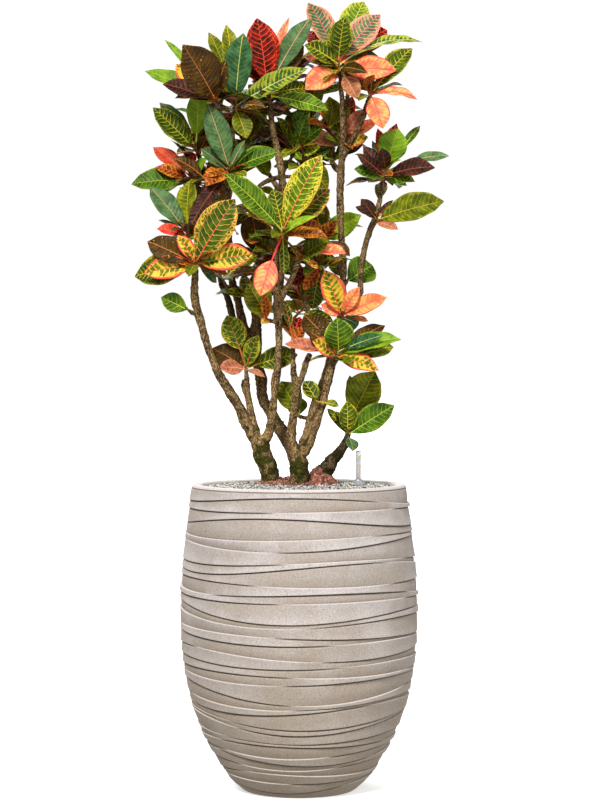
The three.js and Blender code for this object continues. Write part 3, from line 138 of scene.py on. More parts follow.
# Leafy stems, each as the branch it ends, its twig, its leaves and, where there are such, more leaves that
# are placed by rule. twig: [length, lean to the right, lean away]. leaves: [tip x, tip z, reach away from
# the twig, width as seen, tilt in degrees, arch and stalk in hundredths of the length, finish], lowest
# first. more: [count, first bearing, last bearing, length, finishes].
SHOOTS = {
  "crown_right": (["middle", "tall"], [58,-0.12,0], [[12,1398,-30,50,20,6,10,"coral"],
    [194,1438,-46,50,15,6,12,"coral"], [118,1378,-62,36,10,5,30,"blush"],
    [136,1432,-74,24,20,10,12,"bronze"], [110,1398,26,30,20,5,20,"gold_rib"],
    [10,1464,20,28,30,8,20,"coral"], [26,1450,-16,18,40,10,12,"olive"], [248,1494,14,22,50,14,12,"cream"],
    [160,1466,40,30,35,8,12,"olive"], [12,1488,8,42,25,6,12,"gold_rib"], [14,1516,58,40,20,6,20,"ember"],
    [178,1520,70,52,10,5,20,"ember"], [18,1572,30,50,20,7,15,"pink_net"], [162,1550,6,58,15,5,12,"pink_net"],
    [90,1542,-36,50,10,6,12,"gold_rib"], [130,1576,54,56,10,5,15,"citron"]],
    [1,40,140,95, ["olive", "gold_rib", "ember"]]),
  "crown_fork": (["middle", "fork"], [26,0.5,-0.1], [[168,1320,-30,46,10,8,10,"coral"],
    [238,1380,-14,20,50,12,12,"coral"], [146,1418,-16,12,20,5,12,"bronze"],
    [226,1482,10,44,20,5,12,"gold_rib"]]),
  "crown_side": (["middle", "crown_spur"], [16,-0.2,0.5], [[4,1306,-26,32,30,5,12,"blush"],
    [138,1304,-14,28,20,6,12,"coral_edge"], [128,1360,-10,32,20,6,20,"blush"],
    [60,1384,0,44,15,5,10,"olive"], [106,1386,14,30,15,5,20,"ember"], [156,1338,10,24,20,5,30,"coral"]]),
  "crown_middle": (["left", "tall"], [48,-0.15,0], [[58,1356,-34,36,35,5,15,"green"],
    [16,1400,14,38,30,6,15,"gold_rib"], [-118,1506,44,60,15,5,12,"ember"], [10,1486,20,40,15,6,15,"bronze"],
    [24,1544,46,42,15,7,20,"grey"], [-20,1544,60,18,20,4,20,"coral"], [-84,1540,0,66,15,6,12,"ember"]],
    [2,40,140,90, ["ember", "olive", "gold_rib"]]),
  "crown_left": (["back", "left"], [38,0.1,-0.1], [[-104,1300,-30,38,15,6,15,"olive"],
    [-66,1364,-48,24,40,10,10,"bronze"], [-178,1434,-22,28,50,8,10,"olive"], [18,1440,-40,40,25,5,8,"cream"],
    [-180,1514,66,34,25,6,15,"olive"], [-144,1530,38,36,15,4,20,"olive"], [-112,1512,-14,56,10,5,8,"teal"]],
    [2,60,160,90, ["olive", "ember", "green"]]),
  "upper_left": (["back", "high_spur"], [24,-0.3,-0.1], [[-272,1410,-14,36,30,6,15,"plum"],
    [-308,1436,6,34,30,5,20,"lime"], [-246,1450,22,50,20,5,15,"coral_edge"],
    [-146,1456,20,34,15,5,15,"bronze"], [-268,1498,50,16,20,5,30,"lime"],
    [-232,1487,-26,78,15,6,8,"bronze"]]),
  "far_left_upper": (["back", "far_left_up"], [26,-0.2,-0.3], [[-222,1240,-10,18,20,5,15,"ember"],
    [-292,1362,-12,46,20,5,12,"gold_rib"], [-278,1376,26,32,25,5,15,"grey"],
    [-192,1336,24,26,15,5,15,"ember"], [-198,1402,-34,42,10,4,25,"lime"]],
    [2,60,170,90, ["olive", "green", "rust"]]),
  "far_left": (["back", "far_left"], [24,-0.3,-0.3], [[-335,1210,-20,46,35,5,12,"green"],
    [-288,1244,-14,26,30,6,20,"rust"], [-292,1284,6,32,20,6,20,"scarlet"],
    [-184,1262,-22,20,40,4,15,"lime"]], [2,70,180,90, ["green", "olive", "rust"]]),
  "left_star": (["back", "left_spur"], [24,0,-0.5], [[-222,1116,-44,34,20,8,10,"plum"],
    [-186,1206,-26,36,30,10,10,"rust"], [-196,1280,-10,32,30,5,15,"grey"], [-40,1274,-12,40,30,5,15,"green"],
    [-98,1274,20,24,20,5,15,"ember"], [-108,1296,-14,18,20,4,12,"grey"], [-182,1370,0,50,10,5,8,"grey"]]),
  "outer_top": (["left", "outer"], [22,-0.1,-0.2], [[-284,1120,-18,24,30,8,15,"scarlet"],
    [-162,1150,8,36,25,6,12,"coral"], [-298,1204,30,42,25,5,15,"grey"], [-282,1138,26,8,20,12,20,"grey"],
    [-218,1220,-16,42,35,4,8,"olive"]]),
  "outer_star": (["left", "outer_spur"], [22,0,-0.4], [[-330,1026,18,60,20,2,10,"gold_rib"],
    [-310,1032,-14,46,15,5,8,"coral_edge"], [-164,1012,26,18,30,5,20,"grey"],
    [-92,1070,-24,52,15,5,10,"coral_edge"], [-304,1096,16,52,15,5,15,"bronze"],
    [-242,1108,-8,28,20,4,12,"coral_edge"], [-128,1180,-4,72,10,5,6,"rose_net"]]),
  "single_leaf": (["left", "outer_leaf_spur"], [9,-0.6,-0.2], [[-276,984,-6,38,15,3,16,"green"]]),
  "middle_star": (["left", "star_arm"], [34,0.1,-0.2], [[-78,986,-42,48,10,6,45,"coral"],
    [-30,1028,-6,20,20,4,20,"gold_rib"], [58,1104,-42,24,45,6,8,"rust"], [34,1146,-52,15,30,12,8,"lime"],
    [46,1128,24,28,35,6,15,"rust"], [-120,1166,-34,24,60,5,15,"coral_edge"],
    [62,1202,22,54,20,5,12,"rose_net"], [-150,1232,-4,46,30,4,10,"green"],
    [-52,1200,22,42,10,5,12,"gold_rib"], [44,1270,-16,60,15,5,8,"sun_net"]]),
  "middle_back": (["back", "foot"], [24,0.2,-0.2], [[-146,1084,0,20,40,5,30,"coral_edge"],
    [-34,1046,0,30,20,5,20,"ember"], [-96,1158,-20,62,10,5,10,"bronze"], [-62,1118,16,40,15,5,10,"olive"]],
    [2,40,140,90, ["olive", "bronze", "ember"]]),
  "right_arm_star": (["left", "right_arm"], [16,0.1,-0.2], [[38,1040,-18,14,40,5,30,"coral_edge"],
    [32,1042,34,24,20,4,15,"grey"], [94,1070,-34,22,55,8,35,"coral"], [60,1098,-16,36,25,5,8,"olive"]]),
  "brown_star": (["middle", "brown_spur"], [20,0,-0.3], [[8,998,-14,26,10,6,10,"rust"],
    [26,958,16,42,10,5,15,"gold_rib"], [-18,1010,36,30,20,5,20,"ember"], [78,1054,20,22,30,5,12,"olive"],
    [64,1066,-14,24,30,10,12,"gold_rib"]], [2,50,150,76, ["olive", "gold_rib"]]),
  "coral_star": (["middle", "coral_spur"], [20,0,-0.3], [[120,928,16,34,15,5,15,"teal"],
    [138,936,0,12,30,5,50,"coral"], [44,970,-14,26,20,6,15,"coral"], [176,984,-22,36,20,6,10,"coral"],
    [120,1004,-8,28,10,4,10,"coral"], [52,1038,2,48,10,5,10,"coral_edge"]]),
  "low_right_star": (["middle", "front"], [34,0.15,-0.2], [[160,838,-42,34,20,8,10,"coral_edge"],
    [27,896,-26,34,30,6,8,"coral_edge"], [-28,890,12,26,50,5,20,"blush"], [190,884,22,42,20,5,25,"olive"],
    [204,902,-34,34,40,6,8,"lime"], [170,886,-8,26,30,5,15,"gold_rib"], [174,930,28,30,25,6,15,"bronze"],
    [168,908,6,24,25,5,20,"teal"], [22,914,20,40,15,5,12,"bronze"], [8,950,40,50,10,5,15,"bronze"],
    [76,942,-30,60,10,5,8,"green"]]),
  "middle_low": (["middle", "left"], [14,0,0], [[10,922,-20,24,25,6,15,"rust"],
    [-30,978,0,18,20,4,35,"rose_net"], [-32,954,14,20,20,5,15,"rust"], [2,946,12,24,20,5,15,"ember"]],
    [2,60,150,70, ["rust", "olive"]]),
  "inner_star": (["left", "inner"], [24,0,-0.2], [[-68,824,-30,12,40,8,10,"blush"],
    [-160,844,-30,30,30,6,15,"blush"], [-174,882,-18,52,20,8,10,"bronze"],
    [-2,870,-26,46,20,5,20,"gold_rib"], [-78,882,-6,26,15,5,10,"bronze"], [-82,908,-30,34,20,5,8,"sun_net"],
    [-144,948,4,50,10,4,35,"sun_net"]], [2,40,150,70, ["bronze", "olive", "green"]]),
  "side_leaves": (["left", "right_leaf_spur"], [14,-0.5,-0.3], [[-74,930,-10,16,30,5,15,"coral_edge"],
    [-102,1012,-6,56,20,5,10,"olive"], [-70,988,-24,22,25,5,10,"rust"]]),
  "right_end": (["right", "foot"], [10,0.2,-0.1], [[152,836,-12,72,10,5,6,"olive"],
    [102,828,14,26,20,5,8,"grey"]]),
  "right_node": (["right", "spur"], [18,0,-0.3], [[108,676,-30,22,40,8,20,"grey"],
    [56,762,4,18,25,5,15,"gold_rib"], [191,768,-12,50,15,2,10,"green"], [74,756,10,20,20,5,12,"olive"],
    [96,776,-2,38,15,5,12,"gold_rib"]]),
  "front_side": (["middle", "front_spur"], [8,-0.5,-0.2], [[80,766,-6,14,40,4,35,"olive"],
    [10,816,8,32,25,4,15,"gold_rib"]]),
  "low_back": (["middle", "low_spur"], [9,-0.5,0.1], [[6,782,8,30,20,4,12,"olive"],
    [-36,816,6,50,15,4,12,"olive"]]),
  "right_star": (["middle", "far_right"], [42,0.1,-0.1], [[224,1216,-22,30,35,6,8,"green"],
    [110,1240,-18,30,25,5,8,"green"], [272,1244,-16,36,30,8,15,"plum"], [118,1268,-20,26,20,4,12,"plum"],
    [146,1296,20,16,20,4,20,"grey"], [128,1286,4,26,15,4,12,"plum"], [300,1266,16,22,40,10,45,"grey"],
    [242,1326,24,18,20,4,50,"green"], [158,1322,26,24,20,4,15,"ember"], [194,1332,30,28,20,4,15,"ember"],
    [164,1282,-34,28,15,4,12,"plum"], [198,1320,-20,60,10,4,20,"lime"]],
    [1,30,130,80, ["plum", "green", "ember"]]),
  "right_side": (["middle", "far_right_spur"], [22,0.1,-0.4], [[198,1120,-34,20,30,4,8,"blush"],
    [290,1176,-18,56,20,5,8,"olive"], [188,1178,10,12,30,4,15,"plum"], [124,1180,-14,28,15,4,10,"plum"],
    [112,1166,6,16,25,4,12,"plum"]]),
  "right_behind": (["middle", "low_far_spur"], [9,0.4,0.2], [[148,1048,4,62,15,4,10,"green"],
    [66,1058,6,34,15,5,20,"gold_rib"]]),
  "back_far": (["middle", "back_far"], [26,0,0.3], [],
    [5,0,300,78, ["green", "olive", "lime", "plum"]]),
  "back_crown": (["middle", "back_crown"], [30,0,0.3], [],
    [5,-20,330,102, ["olive", "ember", "gold_rib", "coral", "pink_net"]]),
  "back_right": (["middle", "back_right"], [30,0,0.3], [],
    [5,-10,320,107, ["olive", "gold_rib", "green", "rust"]]),
  "back_top": (["left", "back_top"], [30,0,0.3], [],
    [5,-20,330,107, ["ember", "olive", "teal", "coral", "gold_rib"]]),
  "back_middle": (["left", "back_middle"], [28,0,0.3], [],
    [5,0,330,102, ["olive", "bronze", "green", "coral_edge"]]),
  "back_high": (["back", "back_high"], [28,-0.2,0.3], [],
    [5,0,330,102, ["green", "rust", "lime", "olive"]]),
  "back_left": (["back", "back_left"], [28,-0.2,0.3], [],
    [5,0,330,102, ["rose_net", "olive", "bronze", "coral"]]),
  "back_low": (["back", "back_low"], [26,0.1,0.3], [],
    [5,0,320,80, ["gold_rib", "coral_edge", "olive"]]),
  "back_low_right": (["middle", "back_low"], [26,0,0.3], [],
    [5,0,330,92, ["gold_rib", "bronze", "coral", "olive"]]),
  "back_centre": (["middle", "back_middle"], [28,0,0.3], [[124,1148,-46,48,10,5,10,"lime"],
    [70,1134,-60,22,20,4,20,"teal"]], [5,0,330,102, ["rose_net", "green", "rust", "olive"]]),
  "inner_high": (["left", "inner_spur"], [20,0.1,0.1], [[60,1196,24,46,15,5,12,"olive"],
    [-74,1314,24,40,15,5,12,"bronze"], [42,1284,-8,34,20,5,12,"gold_rib"], [-30,1338,14,28,15,5,15,"olive"],
    [38,1346,16,30,15,5,12,"grey"], [14,1342,-8,40,15,5,12,"green"]]),
  "inner_left": (["back", "inner_spur"], [20,0.1,0.2], [[-126,1216,10,36,20,5,12,"bronze"],
    [-60,1224,16,34,20,5,12,"olive"], [-40,1308,20,34,20,5,12,"green"], [-160,1368,20,36,20,5,12,"rust"],
    [-74,1374,24,38,15,5,12,"olive"], [-116,1394,10,36,15,5,12,"bronze"]]),
}

# Small shoots in the crown's shade, as [x, z, depth]: where their tops are.
SPRAYS = [
  [-94, 1354, 40], [-22, 1362, 30], [-18, 1298, 40], [-118, 1262, 30], [10, 1242, 40], [-198, 1286, 30],
  [-98, 1148, 20], [26, 1078, 20], [-54, 1074, 30], [-154, 1022, -20], [-94, 986, 20], [2, 954, 20],
  [-154, 1334, 50], [58, 1322, 50], [-174, 1148, 10], [-18, 1154, 40], [-150, 1210, 20], [-60, 1300, 70],
  [-80, 1416, 60], [-22, 1408, 50], [-10, 1448, 70], [-58, 1108, -20], [64, 1250, 60], [-184, 1216, -10],
]


# ------------------------------------------------------------------ curves, noise and mesh drafts


class Draws:
    """The same draws between 0 and 1, in the same order each time."""

    def __init__(self, seed: int) -> None:
        """Starts at a seed.

        Args:
            seed: where the series starts.
        """
        self.state = seed

    def __call__(self) -> float:
        """The next draw."""
        self.state = (self.state * 1664525 + 1013904223) & 0xFFFFFFFF
        return self.state / 4294967296


def unit(v: Array) -> Array:
    """The same directions with length 1."""
    return v / np.linalg.norm(v, axis=-1, keepdims=True)


def ease(value: Array, start: float, end: float) -> Array:
    """0 up to start, 1 from end on, and an even rise between them."""
    t = np.clip((value - start) / (end - start), 0, 1)
    return t * t * (3 - 2 * t)


def sighted(x: float, z: float, depth: float) -> Array:
    """A point seen at x and z on the upright plane through the pot's axis, at its true depth."""
    scale = (depth - EYE[1]) / -EYE[1]
    return np.array([EYE[0] + (x - EYE[0]) * scale, depth, EYE[2] + (z - EYE[2]) * scale])


def around(sides: int) -> Array:
    """Even angles round a full turn."""
    return np.linspace(0, math.tau, sides, endpoint=False)


def level(bearing: float) -> Array:
    """The level direction at a bearing in radians."""
    return np.array([math.cos(bearing), math.sin(bearing), 0])


def raised(start: Array, outward: Array, rise: float, length: float) -> Array:
    """The point at a length from start, in a level direction that is raised by an angle in radians."""
    return start + outward * length * math.cos(rise) + UP * length * math.sin(rise)


def squared(face: Array, along: Array) -> Array:
    """The direction square to along that is nearest to face."""
    return unit(face - along * face.dot(along))


def curve_through(places: Array, values: Array, at: Array) -> Array:
    """A smooth curve through values, one at each place.

    Args:
        places: rising places.
        values: a number or a point for each place.
        at: where to read the curve.

    Returns:
        The curve's values at those places.
    """
    places, values, at = (np.asarray(v, float) for v in (places, values, at))
    last = len(places) - 1
    before, after = np.maximum(np.arange(last + 1) - 1, 0), np.minimum(np.arange(last + 1) + 1, last)
    wide = values.ndim > 1
    spans = places[after] - places[before]
    slopes = (values[after] - values[before]) / (spans[:, None] if wide else spans)
    i = np.clip(np.searchsorted(places, at, side="left") - 1, 0, last - 1)
    span = places[i + 1] - places[i]
    t = (at - places[i]) / span
    if wide:
        span, t = span[:, None], t[:, None]
    rise = values[i + 1] - values[i]
    bend = (1 - t) * (slopes[i] * span - rise) - t * (slopes[i + 1] * span - rise)
    return values[i] + t * rise + t * (1 - t) * bend


def grain(points: Array, size: float, seed: int = 0) -> Array:
    """Smooth noise between -1 and 1 with lumps of about one size.

    Args:
        points: where to read it, in mm.
        size: a lump's size in mm.
        seed: another number gives another pattern.

    Returns:
        One number for each point.
    """
    p = np.asarray(points, float) / size
    cell = np.floor(p).astype(np.int64)
    f = p - cell
    f = f * f * (3 - 2 * f)
    total = np.zeros(p.shape[:-1])
    for corner in itertools.product((0, 1), repeat=3):
        c = cell + np.array(corner)
        mixed = c[..., 0] * 73856093 ^ c[..., 1] * 19349663 ^ c[..., 2] * 83492791 ^ seed * 26544357
        mixed = ((mixed ^ (mixed >> 13)) * 1274126177) & 0xFFFFFFFF
        mixed = (mixed ^ (mixed >> 16)) & 0xFFFF
        total += np.prod(np.where(np.array(corner, bool), f, 1 - f), axis=-1) * (mixed / 32767.5 - 1)
    return total


def grid_faces(rows: int, columns: int, closed: bool) -> Array:
    """The quads of a grid of points, row by row.

    Args:
        rows: how many rows of points there are.
        columns: how many points a row has.
        closed: whether a row's last point joins its first.

    Returns:
        Four point numbers for each quad.
    """
    r = np.arange(rows - 1)[:, None] * columns
    c = np.arange(columns if closed else columns - 1)[None, :]
    a, b = r + c, r + (c + 1) % columns
    return np.stack([a, b, b + columns, a + columns], axis=-1).reshape(-1, 4)


def tube_faces(rows: int, sides: int) -> list[list[int]]:
    """The quads between rings of points that are stacked up, and a flat face at each end."""
    ends = [list(range(sides))[::-1], list(range((rows - 1) * sides, rows * sides))]
    return grid_faces(rows, sides, True).tolist() + ends


def turned(profile: Iterable, sides: int, centre: tuple[float, float] = (0.0, 0.0)) -> Array:
    """Rings of points round an upright axis, one for each [radius, height] of a profile.

    Args:
        profile: radii and heights.
        sides: how many points a ring has.
        centre: the axis's x and y.

    Returns:
        Points, rings by sides.
    """
    angle = around(sides)
    return np.array([[[centre[0] + r * math.cos(a), centre[1] + r * math.sin(a), z] for a in angle]
                     for r, z in profile])


@dataclass
class Draft:
    """One piece's points, faces and values for each point, before it becomes a mesh."""

    points: list[Array] = field(default_factory=list)
    faces: list[list[int]] = field(default_factory=list)
    finishes: list[int] = field(default_factory=list)
    values: dict[str, list[Array]] = field(default_factory=dict)
    count: int = 0

    def add(self, points: Array, faces: Iterable, finish: int = 0, **values: Array) -> None:
        """Adds points in mm and faces that number these points from 0.

        Args:
            points: places, in mm.
            faces: point numbers of each face.
            finish: number of the material.
            **values: three numbers for each point, under the name that a material reads.
        """
        points = np.asarray(points, float).reshape(-1, 3)
        rows = faces.tolist() if isinstance(faces, Array) else faces
        self.faces += [[i + self.count for i in face] for face in rows]
        self.finishes += [finish] * len(rows)
        for name in {*values, *self.values}:
            kept = self.values.setdefault(name, [np.zeros((self.count, 3))] if self.count else [])
            given = values.get(name)
            kept.append(np.zeros((len(points), 3)) if given is None else np.asarray(given).reshape(-1, 3))
        self.points.append(points)
        self.count += len(points)

    def make(self, name: str, materials: list[Material], smooth: bool = True) -> bpy.types.Object:
        """Turns the draft into an object in metres.

        Args:
            name: the piece's name.
            materials: its materials, in the order of their numbers.
            smooth: whether it is shaded smoothly.

        Returns:
            The object, linked to the scene.
        """
        mesh = bpy.data.meshes.new(name)
        mesh.from_pydata((np.concatenate(self.points) * MM).tolist(), [], self.faces)
        for material in materials:
            mesh.materials.append(material)
        mesh.polygons.foreach_set("material_index", self.finishes)
        mesh.polygons.foreach_set("use_smooth", [smooth] * len(self.faces))
        for key, parts in self.values.items():
            made = mesh.attributes.new(key, "FLOAT_VECTOR", "POINT")
            made.data.foreach_set("vector", np.concatenate(parts).astype(np.float32).ravel())
        mesh.validate()
        mesh.update()
        piece = bpy.data.objects.new(name, mesh)
        bpy.context.scene.collection.objects.link(piece)
        return piece


def settle(piece: bpy.types.Object, slot: str, *nodes: str) -> None:
    """The piece rides on the plant's one body and takes its nodes' places.

    Args:
        piece: the finished piece.
        slot: the record's material slot; not used.
        *nodes: the CAD nodes that it stands for.
    """
    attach(piece, "root")
    if nodes:
        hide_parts(*nodes)
    LOG.info("%s: %d faces, for %s", piece.name, len(piece.data.polygons), ", ".join(nodes) or "no node")


def looped(rows: Array) -> Array:
    """The quads of a round body's rings, whose last ring joins its first."""
    count, sides = rows.shape[:2]
    return grid_faces(count + 1, sides, True) % (count * sides)


def lathe(profile: list, sides: int, centre: tuple[float, float], finishes: dict[int, int]) -> Draft:
    """A round body that stands on an upright axis; its last point joins its first.

    Args:
        profile: [radius, height] points round the body's section.
        sides: how many sides it has.
        centre: the axis's x and y.
        finishes: the material's number for each row of faces where it isn't 0.

    Returns:
        Its draft.
    """
    draft = Draft()
    rows = turned(profile, sides, centre)
    draft.add(rows, looped(rows))
    draft.finishes = [finishes.get(face[0] // sides, 0) for face in draft.faces]
    return draft


@dataclass
class Sweep:
    """A round stem along a smooth curve through points with a radius each."""

    path: Array  # the points, in mm
    radii: Array  # the stem's radius at each of them
    step: float = 4.0  # distance between its rings

    def __post_init__(self) -> None:
        """Reads the curve at even steps and carries a frame along it without twist."""
        path = np.asarray(self.path, float)
        places = np.concatenate([[0], np.cumsum(np.linalg.norm(np.diff(path, axis=0), axis=1))])
        count = max(3, int(places[-1] / self.step) + 1)
        self.along = np.linspace(0, places[-1], count)
        self.centres = curve_through(places, path, self.along)
        self.radius = np.interp(self.along, places, self.radii)
        self.ahead = unit(np.gradient(self.centres, axis=0))
        across = np.array([1.0, 0.1, 0.0])
        self.across = np.zeros_like(self.centres)
        for i, ahead in enumerate(self.ahead):
            across = unit(across - across.dot(ahead) * ahead)
            self.across[i] = across
        self.over = np.cross(self.ahead, self.across)

    def closed(self, sides: int) -> tuple[Array, list[list[int]]]:
        """The stem as a closed tube.

        Args:
            sides: how many sides it has.

        Returns:
            Its points and its faces.
        """
        angle = around(sides)[None, :, None]
        spoke = self.across[:, None] * np.cos(angle) + self.over[:, None] * np.sin(angle)
        rings = self.centres[:, None] + spoke * self.radius[:, None, None]
        return rings.reshape(-1, 3), tube_faces(len(rings), sides)


def branch(path: list) -> Sweep:
    """One branch of the table of stems."""
    return Sweep(np.array([sighted(*row[:3]) for row in path]), np.array([row[3] for row in path]))


def add_twig(draft: Draft, stem: Sweep, sides: int, on: tuple, rough: float = 0.0) -> None:
    """Adds a leafy shoot's twig, with the fine ridges that old leaf stalks leave.

    Args:
        draft: the shoot's draft.
        stem: the twig.
        sides: how many sides it has.
        on: how cracked, mossed and shaded its bark is.
        rough: how far its ridges stand out.
    """
    points, faces = stem.closed(sides)
    along = np.repeat(stem.along, sides)
    ridge = (0.45 * grain(points, 3.2, 41) + 0.5 * np.sin(along / 1.6)) * rough
    points = points + unit(points - np.repeat(stem.centres, sides, axis=0)) * ridge[:, None]
    draft.add(points, faces, stem_at=np.column_stack([points[:, :2], along]),
              stem_on=np.tile(on, (len(points), 1)))


def pebbles(centres: Array, sizes: Array, flat: float, rng: np.random.Generator) -> tuple:
    """Irregular small lumps of twelve corners and twenty faces each.

    Args:
        centres: their places, in mm.
        sizes: their radii, in mm.
        flat: how much thinner than wide they are at the most.
        rng: the draws.

    Returns:
        Points and triangles.
    """
    gold = (1 + 5 ** 0.5) / 2
    base = [(s * a, t * b, 0) for s in (-1, 1) for t in (-1, 1) for a, b in [(1, gold)]]
    corners = unit(np.array([np.roll(p, turn) for turn in range(3) for p in base], float))
    near = 1.2  # two corners of an edge are closer than this
    linked = np.linalg.norm(corners[:, None] - corners[None], axis=-1) < near
    faces = np.array([f for f in itertools.combinations(range(12), 3)
                      if linked[f[0], f[1]] and linked[f[1], f[2]] and linked[f[0], f[2]]])
    inward = np.einsum("ij,ij->i", corners[faces[:, 0]],
                       np.cross(corners[faces[:, 1]], corners[faces[:, 2]])) < 0
    faces[inward] = faces[inward][:, ::-1]
    count = len(centres)
    lumps = corners[None] * rng.uniform(0.74, 1.16, (count, 12, 1))
    lumps = lumps * rng.uniform(flat, 1.15, (count, 1, 3)) * sizes[:, None, None]
    q = unit(rng.normal(size=(count, 4)))
    w, x, y, z = q.T
    turn = np.array([[1 - 2 * (y * y + z * z), 2 * (x * y - z * w), 2 * (x * z + y * w)],
                     [2 * (x * y + z * w), 1 - 2 * (x * x + z * z), 2 * (y * z - x * w)],
                     [2 * (x * z - y * w), 2 * (y * z + x * w), 1 - 2 * (x * x + y * y)]])
    points = np.einsum("ijn,npj->npi", turn, lumps) + centres[:, None]
    return points.reshape(-1, 3), (faces[None] + 12 * np.arange(count)[:, None, None]).reshape(-1, 3)


# ------------------------------------------------------------------ finishes


def linear(hexa: str) -> tuple[float, float, float, float]:
    """An sRGB hex colour as linear red, green, blue and 1."""
    shares = [int(hexa[i:i + 2], 16) / 255 for i in (1, 3, 5)]
    return (*(s / 12.92 if s <= 0.04045 else ((s + 0.055) / 1.055) ** 2.4 for s in shares), 1.0)


COLOUR = {"output": 2, "data_type": "RGBA"}  # mixes input 7 into 6 by the share at 0
TINT = {**COLOUR, "blend_type": "MULTIPLY"}
TIMES = {"operation": "MULTIPLY"}
SCALED = {"operation": "MULTIPLY_ADD"}  # the first input times the second, plus the third


def add(tree: bpy.types.NodeTree, kind: str, links: dict | tuple = (), output: int | str = 0,
        **settings: object) -> bpy.types.NodeSocket:
    """Adds a node with its settings, values and links.

    Args:
        tree: the node tree.
        kind: the node's type.
        links: a socket to link, or a value to set, for each input by name or number, or in their order.
        output: the output that is returned.
        **settings: the node's own settings.

    Returns:
        The output socket.
    """
    node = tree.nodes.new(f"ShaderNode{kind}")
    for key, value in settings.items():
        setattr(node, key, value)
    for key, value in (links if isinstance(links, dict) else dict(enumerate(links))).items():
        if isinstance(value, bpy.types.NodeSocket):
            tree.links.new(value, node.inputs[key])
        else:
            node.inputs[key].default_value = value
    return node.outputs[output]


def surface(name: str, roughness: float, **fixed: object) -> tuple[Material, Callable, Callable, dict]:
    """A new material with a Principled shader.

    Args:
        name: the material's name.
        roughness: the shader's roughness.
        **fixed: more of the shader's own values, with _ for a space in their names.

    Returns:
        The material, what adds a node to its tree, what links two sockets, and the shader's inputs.
    """
    material = bpy.data.materials.new(name)
    material.use_nodes = True
    tree = material.node_tree
    shader = tree.nodes["Principled BSDF"]
    shader.inputs["Roughness"].default_value = roughness
    for key, value in fixed.items():
        shader.inputs[key.replace("_", " ")].default_value = value
    return material, partial(add, tree), tree.links.new, shader.inputs


@dataclass(frozen=True)
class CastStone:
    """Fibre cement, cast in a rubber mould and washed: matt and sandy, with a pale bloom on its ridges,
    painted shade in its hollows and under its ridges, and painted highlights where its edges catch the light.
    """

    lit: str = "#e0d7d3"  # lime bloom where the skin stands proud, and painted highlight on edges that catch the light, on the rim and inside
    face: str = "#c3b8b0"
    hollow: str = "#ae9b86"  # where the wash and dust stay, and painted shade in the hollows
    foot: str = "#b8a58c"  # the foot, warmer and darker towards the bottom
    line: str = "#463a2e"  # pores, and the shade under a ridge
    cloud: float = 75  # mm; the broad uneven patches of a hand wash
    sand: float = 2.2  # mm; a washed face's grit
    pore: float = 2.6  # mm; from one air hole to the next
    toward_foot: float = 0.42  # metres up the pot that the foot's tone reaches

    def make(self) -> Material:
        """Builds the material from the relief that the pot's mesh carries.

        Returns:
            The material.
        """
        material, node, link, shader = surface("cast_stone_washed", 0.88)
        relief = node("Attribute", output="Vector", attribute_name="relief")
        # The relief's values: how far the skin stands proud, a painted shadow under the ridges, and a painted
        # highlight on edges that catch the light, on the rim and inside.
        proud, dark, pale = node("SeparateXYZ", (relief,)).node.outputs
        place = node("TexCoord", output="Object")
        cloud, fine, pores = (node("TexNoise", {"Vector": place, "Scale": 1 / (size * MM), "Detail": detail})
                              for size, detail in ((self.cloud, 5.0), (self.sand, 4.0), (self.pore, 1.0)))
        # Hollows keep the darker tone: partly the wash, partly painted shade.
        height = node("Math", (cloud, 1.4, -0.25), **SCALED)
        height = node("Math", (height, proud), operation="ADD")
        worn = node("MapRange", (height, 0.05, 1.25))
        bloom = node("MapRange", (height, 0.95, 1.8))
        up = node("SeparateXYZ", (place,), output=2)
        # The foot's tone: warmer and darker towards the bottom.
        toward_foot = node("MapRange", (up, self.toward_foot, 0.0, 0.0, 0.75))
        colour = linear(self.hollow)
        for mask, tone in ((worn, self.face), (bloom, self.lit), (toward_foot, self.foot)):
            colour = node("Mix", {0: mask, 6: colour, 7: linear(tone)}, **COLOUR)
        grit = node("MapRange", (fine, 0.34, 0.66, 0.78, 1.14))
        colour = node("Mix", {0: 1.0, 6: colour, 7: grit}, **TINT)
        hole = node("MapRange", (pores, 0.66, 0.72, 0.0, 0.5))
        # Painted highlight, then pores, then painted shadow under the ridges.
        for mask, tone in ((pale, self.lit), (hole, self.line), (dark, self.line)):
            colour = node("Mix", {0: mask, 6: colour, 7: linear(tone)}, **COLOUR)
        link(colour, shader["Base Color"])
        bump = node("Bump", {"Strength": 0.35, "Distance": 0.0008, "Height": fine})
        link(bump, shader["Normal"])
        return material


@dataclass(frozen=True)
class Grit:
    """Loose mineral or soil grains: dry and matt, each of a colour of its own that its mesh carries."""

    name: str
    size: float  # mm; a grain's own mottling
    roughness: float = 0.9

    def make(self) -> Material:
        """Builds the material from each grain's tone.

        Returns:
            The material.
        """
        material, node, link, shader = surface(self.name, self.roughness)
        tone = node("Attribute", output="Color", attribute_name="tone")
        place = node("TexCoord", output="Object")
        mottle = node("TexNoise", {"Vector": place, "Scale": 1 / (self.size * MM), "Detail": 2.0})
        share = node("MapRange", (mottle, 0.3, 0.7, 0.78, 1.12))
        colour = node("Mix", {0: 1.0, 6: tone, 7: share}, **TINT)
        link(colour, shader["Base Color"])
        bump = node("Bump", {"Strength": 0.4, "Distance": 0.0006, "Height": mottle})
        link(bump, shader["Normal"])
        return material


